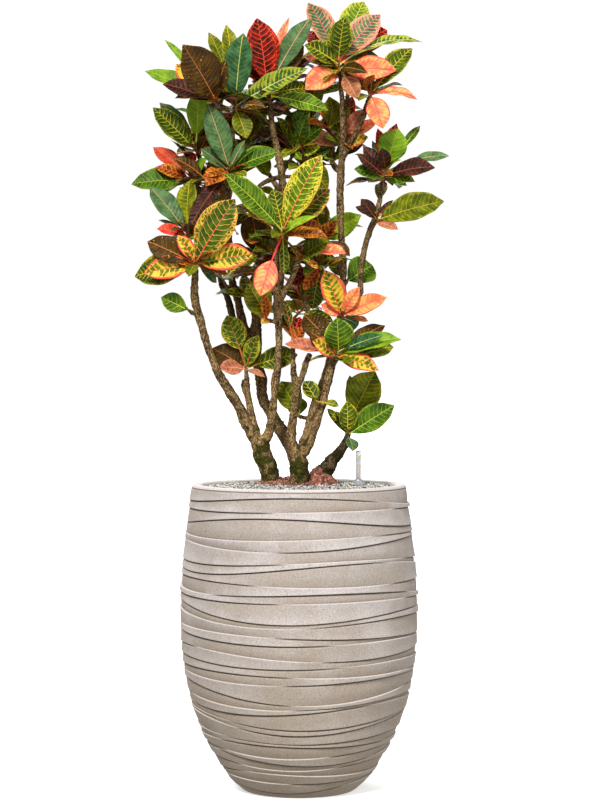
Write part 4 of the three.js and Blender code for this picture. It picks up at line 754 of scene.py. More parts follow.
@dataclass(frozen=True)
class Bark:
    """Corky croton bark: grey-tan, mottled and pitted, worn paler where it stands out, mossy where it stays
    wet.
    """

    plate: str = "#9c7c4c"
    worn: str = "#d8b886"  # dry cork that rubbing has bleached
    brown: str = "#583c20"  # older bark between the plates
    crack: str = "#170f09"  # cracks, pits, and the crown's shade
    moss: str = "#262a08"
    tuft: str = "#6a6a0e"  # the moss's fresh tips
    blotch: float = 12.0  # mm; plates
    mottle: float = 2.2  # mm; the bark's small patches
    pit: float = 1.3  # mm
    stretch: float = 0.55  # how much longer they are along the stem

    def make(self) -> Material:
        """Builds the material; its pattern follows each stem, so patches run along it.

        Returns:
            The material.
        """
        material, node, link, shader = surface("croton_bark", 0.86, Specular_IOR_Level=0.15)
        at = node("Attribute", output="Vector", attribute_name="stem_at")
        on = node("Attribute", output="Vector", attribute_name="stem_on")
        creviced, mossed, shaded = node("SeparateXYZ", (on,)).node.outputs
        laid = node("VectorMath", (at, (1.0, 1.0, self.stretch)), **TIMES)
        fibre, blotch, pit = (node("TexNoise", {"Vector": laid, "Scale": 1 / size, "Detail": detail})
                              for size, detail in ((self.mottle, 4.0), (self.blotch, 3.0), (self.pit, 1.0)))
        plated = node("MapRange", (blotch, 0.38, 0.54))
        rubbed = node("MapRange", (fibre, 0.5, 0.66, 0.0, 0.9))
        deep = node("MapRange", (fibre, 0.47, 0.36, 0.0, 0.95))
        pitted = node("MapRange", (pit, 0.36, 0.28))
        dark = node("Math", (deep, pitted), operation="MAXIMUM")
        dark = node("Math", (dark, creviced), operation="MAXIMUM")
        # Moss is thin on the ridges and thick between them, with paler tufts.
        cover = node("MapRange", (fibre, 0.35, 0.5, 0.55, 1.0))
        cover = node("Math", (mossed, cover), **TIMES)
        tufted = node("MapRange", (pit, 0.5, 0.68))
        moss = node("Mix", {0: tufted, 6: linear(self.moss), 7: linear(self.tuft)}, **COLOUR)
        colour = linear(self.brown)
        crack = linear(self.crack)
        for mask, tone in ((plated, linear(self.plate)), (rubbed, linear(self.worn)), (dark, crack),
                           (cover, moss), (shaded, crack)):
            colour = node("Mix", {0: mask, 6: colour, 7: tone}, **COLOUR)
        link(colour, shader["Base Color"])
        bump = node("Bump", {"Strength": 0.7, "Distance": 0.0012, "Height": fibre})
        link(bump, shader["Normal"])
        return material


@dataclass(frozen=True)
class Moulding:
    """Injection-moulded plastic: smooth and even, with a soft gloss."""

    name: str
    colour: str
    see_through: float = 0.0
    roughness: float = 0.3
    cloud: float = 4.5454545  # mm; the smears on it

    def make(self) -> Material:
        """Builds the material, a little clouded as in handled plastic.

        Returns:
            The material.
        """
        material, node, link, shader = surface(self.name, self.roughness, IOR=1.49,
                                         Transmission_Weight=self.see_through)
        place = node("TexCoord", output="Object")
        cloud = node("TexNoise", {"Vector": place, "Scale": 1 / (self.cloud * MM), "Detail": 2.0})
        share = node("MapRange", (cloud, 0.3, 0.7, 0.9, 1.04))
        colour = node("Mix", {0: 1.0, 6: linear(self.colour), 7: share}, **TINT)
        link(colour, shader["Base Color"])
        return material


@dataclass(frozen=True)
class LeafFinish:
    """A croton leaf: a leathery blade with a waxy skin, so a broad soft gloss over saturated pigment.

    Lengths are in mm, and shares are of the half blade's width or of the room between two side veins.
    """

    ground: tuple[str, str]  # the darker and the paler pigment between the veins
    rib: str  # the midrib's colour
    rib_width: float  # half the midrib's width at the stalk
    vein: str  # the side veins' colour
    vein_width: float  # half a side vein's width near the rib
    reach: float = 1.2  # how far towards the margin the side veins are coloured
    glow: tuple[str, float] = ("", 0.0)  # a pigment that spreads from the side veins, and how far it does
    net: float = 0.0  # how much of the blade's outer part is a net of small veins
    margin: tuple[str, float] = ("", 0.0)  # the margin's colour, and how broad it is
    fleck: tuple[str, float] = ("", 0.0)  # the colour of scattered spots, and how many there are
    under: str = "#77743f"  # the blade's back
    spacing: float = 9.0  # from one side vein to the next
    gloss: float = 0.4  # the skin's roughness
    drift: float = 16.0  # the size of the blade's uneven patches
    freckle: float = 4.0  # from one spot to the next
    fine: float = 2.8  # the size of its small mottling
    hues: tuple[float, float] = (0.507, 0.488)  # from the darkest to the brightest leaf; 0.5 is as it is
    values: tuple[float, float] = (0.96, 1.52)  # and how bright these are

    def make(self, name: str) -> Material:
        """Builds the material from the blade's coordinates that the mesh carries.

        Args:
            name: the finish's name.

        Returns:
            The material.
        """
        material, node, link, shader = surface(f"croton_leaf_{name}", self.gloss, Specular_IOR_Level=0.13)
        at = node("Attribute", output="Vector", attribute_name="leaf_at")
        on = node("Attribute", output="Vector", attribute_name="leaf_on")
        along, across, share = node("SeparateXYZ", (at,)).node.outputs
        station, tint, under = node("SeparateXYZ", (on,)).node.outputs
        out = node("Math", (across,), operation="ABSOLUTE")
        edge = node("Math", (share,), operation="ABSOLUTE")
        left = node("Math", (across, 0.0), operation="GREATER_THAN")
        # Each half of each leaf reads the noise somewhere else.
        own = node("CombineXYZ", (left, tint, tint))
        own = node("VectorMath", (own, (40.0, 900.0, 300.0)), **TIMES)
        spot = node("VectorMath", (at, own), operation="ADD")
        drift = node("TexNoise", {"Vector": spot, "Scale": 1 / self.drift, "Detail": 2.0})
        fine = node("TexNoise", {"Vector": spot, "Scale": 1 / self.fine, "Detail": 2.0})

        # Side veins leave the rib at a wide angle, bend forward, and alternate from side to side.
        bent = node("Math", (edge, -VEIN_BEND, -VEIN_LEAN), **SCALED)
        forward = node("Math", (out, bent, along), **SCALED)
        forward = node("Math", (drift, 8.0, forward), **SCALED)
        forward = node("Math", (left, self.spacing / 2, forward), **SCALED)
        from_vein = node("Math", (forward, self.spacing / 2), operation="PINGPONG")
        narrower = node("MapRange", (edge, 0.0, 1.0, 1.2, 0.5))
        ragged = node("MapRange", (fine, 0.3, 0.7, 0.5, 1.5))
        width = node("Math", (narrower, ragged), **TIMES)
        width = node("Math", (width, self.vein_width), **TIMES)
        core = node("Math", (width, 0.4), **TIMES)
        vein = node("MapRange", (from_vein, width, core))
        past = node("Math", (drift, 0.6, edge), **SCALED)
        ended = node("MapRange", (past, self.reach + 0.4, self.reach + 0.15))
        vein = node("Math", (vein, ended), **TIMES)

        # The rib narrows from the stalk to the tip.
        width = node("MapRange", (station, 0.0, 1.0, self.rib_width * 0.8, self.rib_width * 0.22))
        core = node("Math", (width, 0.55), **TIMES)
        rib = node("MapRange", (out, width, core))

        layers: list[tuple[bpy.types.NodeSocket, str]] = []
        if self.glow[0]:
            # The veins' pigment runs out into the blade, further towards the margin.
            spread = node("Math", (edge, 0.5, -1.35), **SCALED)
            spread = node("Math", (drift, 2.2, spread), **SCALED)
            spread = node("Math", (spread, self.glow[1]), operation="ADD")
            spread = node("Math", (spread, self.spacing), **TIMES)
            spread = node("Math", (spread, 0.01), operation="MAXIMUM")
            core = node("Math", (spread, 0.5), **TIMES)
            glow = node("MapRange", (from_vein, spread, core))
            patchy = node("MapRange", (fine, 0.25, 0.45, 0.4, 1.0))
            layers.append((node("Math", (glow, patchy), **TIMES), self.glow[0]))
        if self.net:
            # Between the side veins the outer blade is a net of cells.
            deep = node("Math", (tint, 300.0), **TIMES)
            flat = node("CombineXYZ", (forward, out, deep))
            cells = node("TexVoronoi", {"Vector": flat, "Scale": 1.55 / self.spacing},
                        feature="DISTANCE_TO_EDGE")
            line = node("MapRange", (cells, 0.1, 0.035))
            outer = node("Math", (drift, 0.5, edge), **SCALED)
            outer = node("MapRange", (outer, 1.15 - self.net, 1.4 - self.net))
            layers.append((node("Math", (line, outer), **TIMES), self.vein))
        if self.fleck[0]:
            speck = node("TexNoise", {"Vector": spot, "Scale": 1 / self.freckle, "Detail": 1.0})
            level = 0.8 - 0.3 * self.fleck[1]
            layers.append((node("MapRange", (speck, level, level + 0.05)), self.fleck[0]))
        layers.append((vein, self.vein))
        if self.margin[0]:
            near = node("Math", (fine, 0.3, edge), **SCALED)
            near = node("MapRange", (near, 1.1 - self.margin[1], 1.18 - self.margin[1]))
            layers.append((near, self.margin[0]))
        layers += [(rib, self.rib), (node("Math", (under, 0.55), **TIMES), self.under)]
        patched = node("MapRange", (drift, 0.38, 0.62))
        colour = linear(self.ground[0])
        for mask, tone in [(patched, self.ground[1]), *layers]:
            colour = node("Mix", {0: mask, 6: colour, 7: linear(tone)}, **COLOUR)
        hue = node("MapRange", (tint, 0.0, 1.0, *self.hues))
        value = node("MapRange", (tint, 0.0, 1.0, *self.values))
        colour = node("HueSaturation", {"Hue": hue, "Value": value, "Color": colour})
        link(colour, shader["Base Color"])

        # The skin swells a little between the veins and sinks along them.
        swell = node("MapRange", (from_vein, 0.0, self.spacing / 2))
        swell = node("Math", (swell, 0.6), operation="POWER")
        swell = node("Math", (fine, 0.12, swell), **SCALED)
        swell = node("Math", (swell, rib), operation="SUBTRACT")
        bump = node("Bump", {"Strength": 0.6, "Distance": 0.0012, "Height": swell})
        link(bump, shader["Normal"])
        return material


class LeafKind(Enum):
    """The leaf finishes on the plant, by name."""

    GOLD_RIB = LeafFinish(("#2c400a", "#4a640f"), "#f0d034", 1.5, "#e2c82e", 0.7, 0.65, net=0.2,
                          margin=("#b4ac30", 0.05), fleck=("#c4b028", 0.12), under="#6c7026")
    TEAL = LeafFinish(("#264e28", "#466e42"), "#e2e070", 1.5, "#86a450", 0.3, 1.0, fleck=("#d6ce4a", 0.24),
                      under="#728a52")
    ROSE_NET = LeafFinish(("#263e0a", "#445c10"), "#e4623f", 1.8, "#e0ac44", 0.7, 1.2, ("#a09422", -0.2),
                          0.35, ("#d8a83c", 0.05), under="#8e7a2e", spacing=12.0)
    SUN_NET = LeafFinish(("#36540e", "#587610"), "#e67c46", 1.7, "#dcca3e", 0.85, 1.2, ("#a8a424", -0.02),
                         0.5, ("#d2bc38", 0.07), under="#988c34", spacing=12.0)
    EMBER = LeafFinish(("#2a0b05", "#7a190a"), "#fa5a2e", 1.8, "#f04e24", 0.9, 1.2, ("#cc2e12", -0.05), 0.35,
                       fleck=("#240a05", 0.3), under="#98301c", spacing=10.0)
    BRONZE = LeafFinish(("#34240a", "#503a0f"), "#de8840", 1.5, "#b67c24", 0.2, 0.9, fleck=("#e0b03a", 0.28),
                        under="#755824")
    CORAL = LeafFinish(("#ec7048", "#f29860"), "#e04638", 1.2, "#f4a668", 0.35, 1.0, ("#f0b45c", 0.12),
                       margin=("#e86450", 0.1), fleck=("#5d6f1c", 0.14), under="#d87c4c")
    PINK_NET = LeafFinish(("#385634", "#587c4a"), "#e8646c", 2.0, "#ee9678", 0.95, 1.3, ("#c4926a", 0.05),
                          0.45, ("#ee9f7a", 0.14), under="#ae9068", spacing=8.5)
    LIME = LeafFinish(("#648a14", "#86a824"), "#c8d44c", 1.2, "#a2bc38", 0.4, 1.0, fleck=("#c4cc40", 0.08),
                      under="#8ca834")
    CITRON = LeafFinish(("#3c6212", "#5c7c18"), "#dcce5c", 1.5, "#c4be44", 0.75, 1.2, ("#8c9a28", 0.0), 0.4,
                        ("#aeb03a", 0.05), under="#a4aa44", spacing=10.0)
    CORAL_EDGE = LeafFinish(("#48600c", "#748214"), "#f0664a", 1.7, "#f6bc44", 1.2, 1.2, ("#f0be3c", 0.3),
                            0.6, ("#ee6048", 0.2), under="#d08e4c", spacing=10.5)
    OLIVE = LeafFinish(("#424e0a", "#687410"), "#d8bc2c", 1.2, "#a8a020", 0.5, 0.95, ("#8c8a16", 0.0), 0.1,
                       ("#8e8c24", 0.03), under="#767626")
    GREEN = LeafFinish(("#30500e", "#527416"), "#d8dc48", 1.3, "#a8bc34", 0.5, 0.9, net=0.1,
                       margin=("#9cac34", 0.04), fleck=("#b0b832", 0.15), under="#788c34")
    CREAM = LeafFinish(("#3c5a1e", "#56782c"), "#eee6a4", 2.0, "#dcd65c", 0.5, 0.55, ("#b2b232", 0.3),
                       margin=("#8ea046", 0.05), under="#98a052", spacing=9.0)
    GREY = LeafFinish(("#3a5630", "#557642"), "#dca27a", 1.3, "#7c945a", 0.3, 1.0, fleck=("#a4ac58", 0.12),
                      under="#849260")
    SCARLET = LeafFinish(("#c83424", "#dc5438"), "#f28464", 1.2, "#e8704e", 0.4, 1.0, ("#e0603c", 0.05),
                         under="#b85a44")
    RUST = LeafFinish(("#5a2e08", "#8a4c0e"), "#e86830", 1.5, "#d88c28", 0.7, 1.1, ("#b46816", 0.1), 0.4,
                      fleck=("#3a3c0c", 0.3), under="#945a2a", spacing=9.5)
    BLUSH = LeafFinish(("#8e5236", "#b87250"), "#e4a682", 1.4, "#d69668", 0.5, 1.1, ("#b87a4e", 0.05), 0.3,
                       fleck=("#5c3020", 0.28), under="#b07c62")
    PLUM = LeafFinish(("#24150e", "#402618"), "#b45c38", 1.1, "#7c4426", 0.4, 1.0, ("#5c2c18", -0.05),
                      under="#52301e")


class Grain(Enum):
    """The colours of the granulate's grains, each with how many in a hundred have it."""

    WHITE = ("#f1efe9", 30)
    ICE = ("#d3dfe2", 14)
    BEIGE = ("#cdbda0", 18)
    GREY = ("#8f8c86", 16)
    BROWN = ("#5b4636", 12)
    BLACK = ("#2c2826", 10)


# ------------------------------------------------------------------ the pot and its fill


@dataclass
class Pot:
    """The cast pot: an outline, and bands one over the other, parted by edges that rise and fall.

    An edge is a step. Where it is positive the band above it stands proud and throws a narrow shadow;
    where it is negative the band below it does, and its upper edge catches the light.
    """

    height: float = 610
    outline: tuple = ((0, 112), (18, 133), (54, 159), (126, 197), (200, 221), (300, 235), (396, 236),
                      (504, 227), (610, 214))
    wall: float = 20
    floor: float = 24
    edges: tuple = (586, 567, 541, 516, 499, 469, 458, 427, 406, 393, 365, 353, 327, 315, 290, 271, 254, 240,
                    214, 196, 186, 160, 151, 128, 115, 99, 84, 73, 51, 38, 23)
    wave: float = 6  # how far all edges rise and fall together
    turning: float = 90  # height over which that wave moves round the pot by one radian
    swell: tuple = (0.42, 0.2)  # how much a band's height changes, twice and once round, as shares of it
    turn: float = 2.4  # how far at most an edge's phase is from the opposite of its neighbour's
    proud: float = 2.2  # how far a band stands out over its lower edge, or lies behind it
    lean: float = 0.3  # how much more often the band above an edge is the one that stands proud
    groove: float = 1.2  # depth of the undercut under a proud band
    runs: tuple = (11.0, 4.2)  # how far a face runs back from a proud edge, or forward again from a hollow
    rounding: tuple = (0.55, 0.7)  # how much a proud edge is rounded off, and over what height
    rim: tuple = ((0, 4.6), (0.7, 2), (2.6, 0.3), (6, 0), (14, 0), (17.6, 0.5), (19.6, 2.6), (20, 8))
    inside: tuple = (560, 480, 280, 120, 40)  # heights of the rings inside
    corner: float = 10  # how far the inside is rounded at the floor
    grain: tuple = ((0.28, 9, 3), (0.4, 46, 4))  # depth, size and seed of the casting's own unevenness
    seed: int = 11
    sides: int = 300

    def radius(self, height: Array) -> Array:
        """The outline's radius at a height."""
        return curve_through([p[0] for p in self.outline], [p[1] for p in self.outline], height)

    def steps(self) -> list[tuple[Array, Array]]:
        """Works out each edge's course round the pot.

        Returns:
            Each edge from the lowest up, as its height and its step between -1 and 1.
        """
        draw, turn = Draws(self.seed), math.tau
        a = self.angle = around(self.sides)
        bounds = (self.height, *self.edges, 0)
        rooms = []
        for i in range(len(self.edges) + 1):
            if i % 2 == 0:
                twice, once = turn * draw(), turn * draw()
            more = self.swell[0] * np.sin(2 * a + twice) + self.swell[1] * np.sin(a + once)
            rooms.append((bounds[i] - bounds[i + 1]) * (1 - more if i % 2 else 1 + more))
        heights = self.height * (1 - np.cumsum(rooms, axis=0) / np.sum(rooms, axis=0))
        phase, made = 0.0, []
        for h, line in zip(self.edges, heights):
            phase += math.pi + self.turn * (draw() - 0.5)
            turns = 1 if draw() < self.lean else 2
            together = np.cos(2 * a) + np.sin(a + h / self.turning) / 2
            line = line + self.wave * math.sin(math.pi * h / self.height) * together
            swing = self.lean + (1 + self.lean) * np.sin(turns * a + phase)
            made.append((line, np.clip(swing, -1, 1)))
        return made[::-1]

    def bulge(self, away: Array, end: Array) -> Array:
        """How far a band's face stands out because of one of its edges.

        Args:
            away: distance from that edge.
            end: the band's step there, positive where it stands proud.

        Returns:
            The distance in mm: a proud edge is slightly rounded and its face runs back gently, while
            behind a neighbour's edge the face comes forward again in a short hollow.
        """
        depth, height = self.rounding
        rounded = depth * np.maximum(end, 0) * np.exp(-away / height)
        return self.proud * end * np.exp(-away / np.where(end > 0, *self.runs)) - rounded

    def make(self) -> bpy.types.Object:
        """Builds the pot as rings of points from its foot, up over the rim and down its inside.

        Returns:
            The pot.
        """
        rings: list[Array] = []
        values: list[Array] = []

        def ring(height: object, proud: object = 0.0, dark: object = 0.0, lit: object = 0.0,
                 radius: float | None = None) -> None:
            """Adds a ring of points.

            Args:
                height: one height, or one for each point.
                proud: how far it stands out of the outline.
                dark: how deep it is in a ridge's shade.
                lit: how much painted highlight it has.
                radius: its radius, if it doesn't follow the outline.
            """
            h = np.broadcast_to(np.asarray(height, float), self.angle.shape)
            r = (self.radius(h) + proud) if radius is None else np.full(h.shape, float(radius))
            rings.append(np.stack([r * np.cos(self.angle), r * np.sin(self.angle), h], axis=-1))
            relief = (np.asarray(proud) + self.proud) / (2 * self.proud) if radius is None else 0.75
            values.append(np.stack([np.broadcast_to(v, h.shape) for v in (relief, dark, lit)], axis=-1))

        steps = self.steps()
        flat = np.zeros(self.angle.shape)
        bounds = [(flat + 1.5, flat), *steps, (flat + self.height - 5, flat)]
        ring(0, radius=self.outline[0][1] - 6)
        ring(0, -0.8)
        for (low, under), (high, over) in itertools.pairwise(bounds):
            room = high - low
            # Rings crowd where a band meets its neighbours, and close up where the band is low.
            up_from = [np.minimum(most, share * room) for most, share in ((1.2, 0.12), (3.4, 0.3))]
            down_to = [room - np.minimum(most, share * room)
                       for most, share in ((5.5, 0.38), (2.9, 0.28), (2.2, 0.21), (0.5, 0.05))]
            cut_from, cut_to = np.minimum(2.6, 0.25 * room), np.minimum(1.9, 0.18 * room)
            # cut is a painted shadow in the undercut under a proud band above, shade a painted shade just
            # above a proud band below, and the last value a painted highlight on this band's top edge where
            # it stands proud.
            undercut, rising = ease(over, -0.3, 0.15), ease(-over, 0.1, 0.7)
            for place in (0.25, *up_from, 0.5 * room, *down_to):
                up, down = place + 0 * room, room - place
                out = self.bulge(up, under) + self.bulge(down, -over)
                cut = undercut * ease(down, cut_from, cut_to)
                shade = 0.5 * ease(-under, 0.1, 0.5) * np.exp(-up / 1.6)
                ring(low + place, out - self.groove * cut, np.maximum(cut, shade),
                     0.7 * rising * ease(down, 1.8, 0.8))
            ring(high, -0.4 * self.groove * undercut, 0.7 * undercut, 0.5 * rising)
        edge = float(self.radius(self.height))
        # The rim and the inside carry a painted highlight.
        for inward, drop in self.rim:
            ring(self.height - drop, radius=edge - inward, lit=0.7 + 0.015 * inward)
        for height in (*self.inside, self.floor):
            rounded = self.corner if height == self.floor else 0
            ring(height, radius=float(self.radius(height)) - self.wall - rounded, lit=0.9)
        points = np.concatenate(rings)
        swell = sum(depth * grain(points, size, seed) for depth, size, seed in self.grain)
        outward = unit(points * (1, 1, 0))
        points = points + outward * (swell * (points[:, 2] > 2) * (points[:, 2] < 600))[:, None]
        draft = Draft()
        draft.add(points, tube_faces(len(rings), self.sides), relief=np.concatenate(values))
        return draft.make("pot_cast", [CastStone().make()])


@dataclass
class Planting:
    """The granulate up to just under the rim, and the soil mound of the root ball with its crumbs."""

    lumps: tuple = ((-50, -8, 24, 32), (0, -20, 20, 36), (42, 2, 42, 32), (-16, 44, 18, 34), (34, 42, 16, 28),
                    (0, -56, 10, 26))  # x, y, rise and reach of each
    ball_radius: float = 84
    ball_bottom: float = 330
    ball_taper: tuple = (8, 390)  # how far it narrows to its bottom, and from which height
    ball_edge: float = 607
    rim: float = 602  # the granulate's height at the pot's wall
    crown: float = 609  # and round the root ball
    reach: float = 193.5
    spacing: float = 4.3  # from one grain to the next
    row: float = 0.866  # from one row of them to the next, as a share of that
    gauge: tuple = (118, -40)
    gauge_room: float = 17
    grains: tuple = (1.7, 3.1)  # their radii
    tones: tuple = (0.62, 0.98)  # dust and shade darken each grain by its own share
    soil: tuple = ("#c07860", "#603a2c")
    crumbs: tuple = ((2600, 0.8, 2.2, 0.5, ("#96614a", "#74483a", "#40281e", "#a97860")),
                     (130, 2.2, 4.2, 0.35, ("#7c4e3a", "#54362a")),
                     (300, 0.7, 1.7, 0.8, ("#f6f2ec", "#e2dcd4")))  # how many, radii, flatness and colours
    sides: int = 160

    def mound(self, x: Array, y: Array) -> Array:
        """The soil's height at a place."""
        rises = [h * np.exp(-1.2 * ((x - lx) ** 2 + (y - ly) ** 2) / r ** 2) for lx, ly, h, r in self.lumps]
        return self.ball_edge + np.max(rises, axis=0) - 2

    def bed(self, radius: Array) -> Array:
        """The granulate's height at a distance from the axis."""
        return np.interp(radius, [self.ball_radius, self.ball_radius + 20, self.reach - 30, self.reach],
                         [self.crown, self.crown, self.rim + 5, self.rim])

    def make_granulate(self) -> None:
        """Builds the bed and, on it, one grain after another in a jittered even spread."""
        rng = np.random.default_rng(7)
        inside = Pot()
        low, high = self.ball_radius + GAP, self.reach - GAP
        profile = [(low - self.ball_taper[0], self.ball_bottom), (low, self.ball_taper[1]), (low, 606)]
        profile += [(r, self.bed(r) - 1.6) for r in np.linspace(low + 1, high, 14)]
        profile += [(float(inside.radius(h)) - inside.wall - GAP, h) for h in inside.inside]
        profile += [(0.5, inside.floor + GAP), (0.5, self.ball_bottom - 1)]
        rows = turned(profile, 180)
        top = (rows[..., 2] > 595)[..., None] * UP
        rows = rows + top * 1.2 * grain(rows, 7, 2)[..., None]
        draft = Draft()
        draft.add(rows, looped(rows), tone=np.tile(linear(Grain.BROWN.value[0])[:3], (rows.size // 3, 1)))
        dust = Grit("granulate_dust", 3.0).make()
        settle(draft.make("granulate_bed", [dust]), "mineral_granulate", "granulate")

        across = np.arange(-high, high, self.spacing)
        deep = np.arange(-high, high, self.spacing * self.row)
        spots = np.array([(x + (i % 2) * self.spacing / 2, y) for i, y in enumerate(deep) for x in across])
        spots = spots + rng.uniform(-0.34, 0.34, spots.shape) * self.spacing
        away = np.linalg.norm(spots, axis=1)
        from_gauge = np.linalg.norm(spots - self.gauge, axis=1)
        spots = spots[(away > low - 4) & (away < high - 1.5) & (from_gauge > self.gauge_room)]
        sizes = rng.uniform(*self.grains, len(spots))
        away = np.linalg.norm(spots, axis=1)
        height = self.bed(away) + rng.uniform(-1.4, 1.0, len(spots)) + ease(away, low + 3, low - 3) * 1.5
        shares = np.array([g.value[1] for g in Grain], float)
        picked = rng.choice(len(Grain), len(spots), p=shares / shares.sum())
        tones = np.array([linear(g.value[0])[:3] for g in Grain])[picked]
        tones = tones * rng.uniform(*self.tones, (len(spots), 1))
        points, faces = pebbles(np.column_stack([spots, height]), sizes, 0.6, rng)
        grains = Draft()
        grains.add(points, faces, tone=np.repeat(tones, 12, axis=0))
        stone = Grit("zeolite_pumice_lava_grain", 1.4).make()
        settle(grains.make("granulate_grains", [stone], smooth=False), "mineral_granulate")

    def make_soil(self) -> None:
        """Builds the mound, and peat crumbs, bark chips and white perlite on it."""
        rng = np.random.default_rng(19)
        turn = around(self.sides)
        radii = np.linspace(self.ball_radius, 1.5, 44)
        x, y = radii[:, None] * np.cos(turn), radii[:, None] * np.sin(turn)
        z = np.where(radii[:, None] > self.ball_radius - 0.5, self.ball_edge - 3, self.mound(x, y))
        top = np.stack([x, y, z], axis=-1)
        top = top + UP * (2.6 * grain(top, 11, 5) + 1.5 * grain(top, 4.5, 6) - 1.0)[..., None]
        taper, shoulder = self.ball_taper
        profile = [(self.ball_radius - taper, self.ball_bottom), (self.ball_radius, shoulder)]
        rows = np.concatenate([turned(profile, self.sides), top])
        red, brown = (np.array(linear(tone)[:3]) for tone in self.soil)
        share = ease(grain(rows, 6, 8), -0.5, 0.6)[..., None]
        draft = Draft()
        draft.add(rows, tube_faces(len(rows), self.sides), tone=red * share + brown * (1 - share))
        settle(draft.make("soil_mound", [Grit("peat_soil", 2.4, 0.95).make()]), "soil", "root_ball")

        crumbs = Draft()
        for many, small, large, flat, tones in self.crumbs:
            away = (self.ball_radius + 4) * np.sqrt(rng.uniform(0, 1, many))
            bearing = rng.uniform(0, math.tau, many)
            x, y = away * np.cos(bearing), away * np.sin(bearing)
            z = self.mound(x, y) + rng.uniform(-1.5, 0.8, many)
            colours = np.array([linear(t)[:3] for t in tones])[rng.integers(0, len(tones), many)]
            points, faces = pebbles(np.column_stack([x, y, z]), rng.uniform(small, large, many), flat, rng)
            crumbs.add(points, faces, tone=np.repeat(colours, 12, axis=0))
        peat = Grit("peat_crumb_perlite", 1.2, 0.95).make()
        settle(crumbs.make("soil_crumbs", [peat], smooth=False), "soil")


@dataclass
class Gauge:
    """The water gauge: a sleeve with a clear cone on the granulate, a sight tube and a float rod."""

    centre: tuple = (118, -40)
    bottom: float = 200
    sleeve: float = 9
    bore: float = 5.3
    cone_base: float = 609
    cone_top: float = 622
    cone_radius: float = 15.5
    neck: float = 7.5
    tube: float = 5
    tube_bore: float = 4
    tube_top: float = 678
    marks: tuple = (645, 665)  # heights of the two printed bands
    sides: int = 48

    def make(self) -> None:
        """Builds the three mouldings with rounded edges, and the marks printed on the tube."""
        base, top, seat = self.cone_base, self.cone_top, self.bottom + 6
        shoulder = self.cone_radius - 1.4
        clear = Moulding("clear_polystyrene_moulded", "#d6d8dc", 0.5, 0.16).make()
        # The dark grey is painted shade round the collar's foot; the same grey lines the neck's top and its
        # bore.
        dark = Moulding("grey_polystyrene_moulded", "#2a2b30", 0.0, 0.35).make()
        profile = [(self.sleeve, self.bottom), (self.sleeve, base - 1), (self.cone_radius - 0.8, base - 0.4),
                   (self.cone_radius, base + 0.6), (self.cone_radius - 0.2, base + 2.2), (shoulder, base + 3)]
        profile += [(self.neck + (shoulder - self.neck) * (1 - s) ** 1.5, base + 3 + (top - base - 4) * s)
                    for s in (0.2, 0.4, 0.6, 0.8, 1.0)]
        profile += [(self.neck - 0.6, top), (self.bore, top), (self.bore, seat)]
        cone = {row: 1 for row in range(4, 11)}  # from the foot's edge up to the neck
        collar = lathe(profile, self.sides, self.centre, cone)
        settle(collar.make("gauge_cone", [dark, clear]), "gauge_clear", "gauge_collar")

        milky = Moulding("milky_polystyrene_extruded", "#f8f8fa", 0.72, 0.12).make()
        yellow = Moulding("yellow_printed_mark", "#e5c24a").make()
        profile = [(self.tube_bore, self.tube_top - 3), (self.tube_bore, seat + GAP), (self.tube, seat + GAP)]
        profile += [(self.tube, m + side) for m in self.marks for side in (-1.5, -1.4, 1.4, 1.5)]
        profile += [(self.tube, self.tube_top - 1.6), (self.tube - 0.5, self.tube_top - 0.4),
                    (self.tube - 1.4, self.tube_top)]
        tube = lathe(profile, self.sides, self.centre, {4: 1, 8: 1})  # rows 4 and 8 lie inside the marks
        tube.faces.append(list(range((len(profile) - 1) * self.sides, len(profile) * self.sides)))
        tube.finishes.append(0)
        settle(tube.make("gauge_sight_tube", [milky, yellow]), "gauge_clear", "gauge_tube")

        foot = seat + 2 * GAP
        profile = [(0.2, foot), (2.6, foot), (3, foot + 1), (3, foot + 29), (1.5, foot + 31), (1.5, 617),
                   (2.6, 617.6), (3, 619), (3, 627), (2.4, 628.4), (0.2, 629)]
        red = Moulding("red_polystyrene_moulded", "#d23a22").make()
        settle(lathe(profile, 24, self.centre, {}).make("gauge_float_rod", [red]), "gauge_red", "gauge_float")


# ------------------------------------------------------------------ trunks


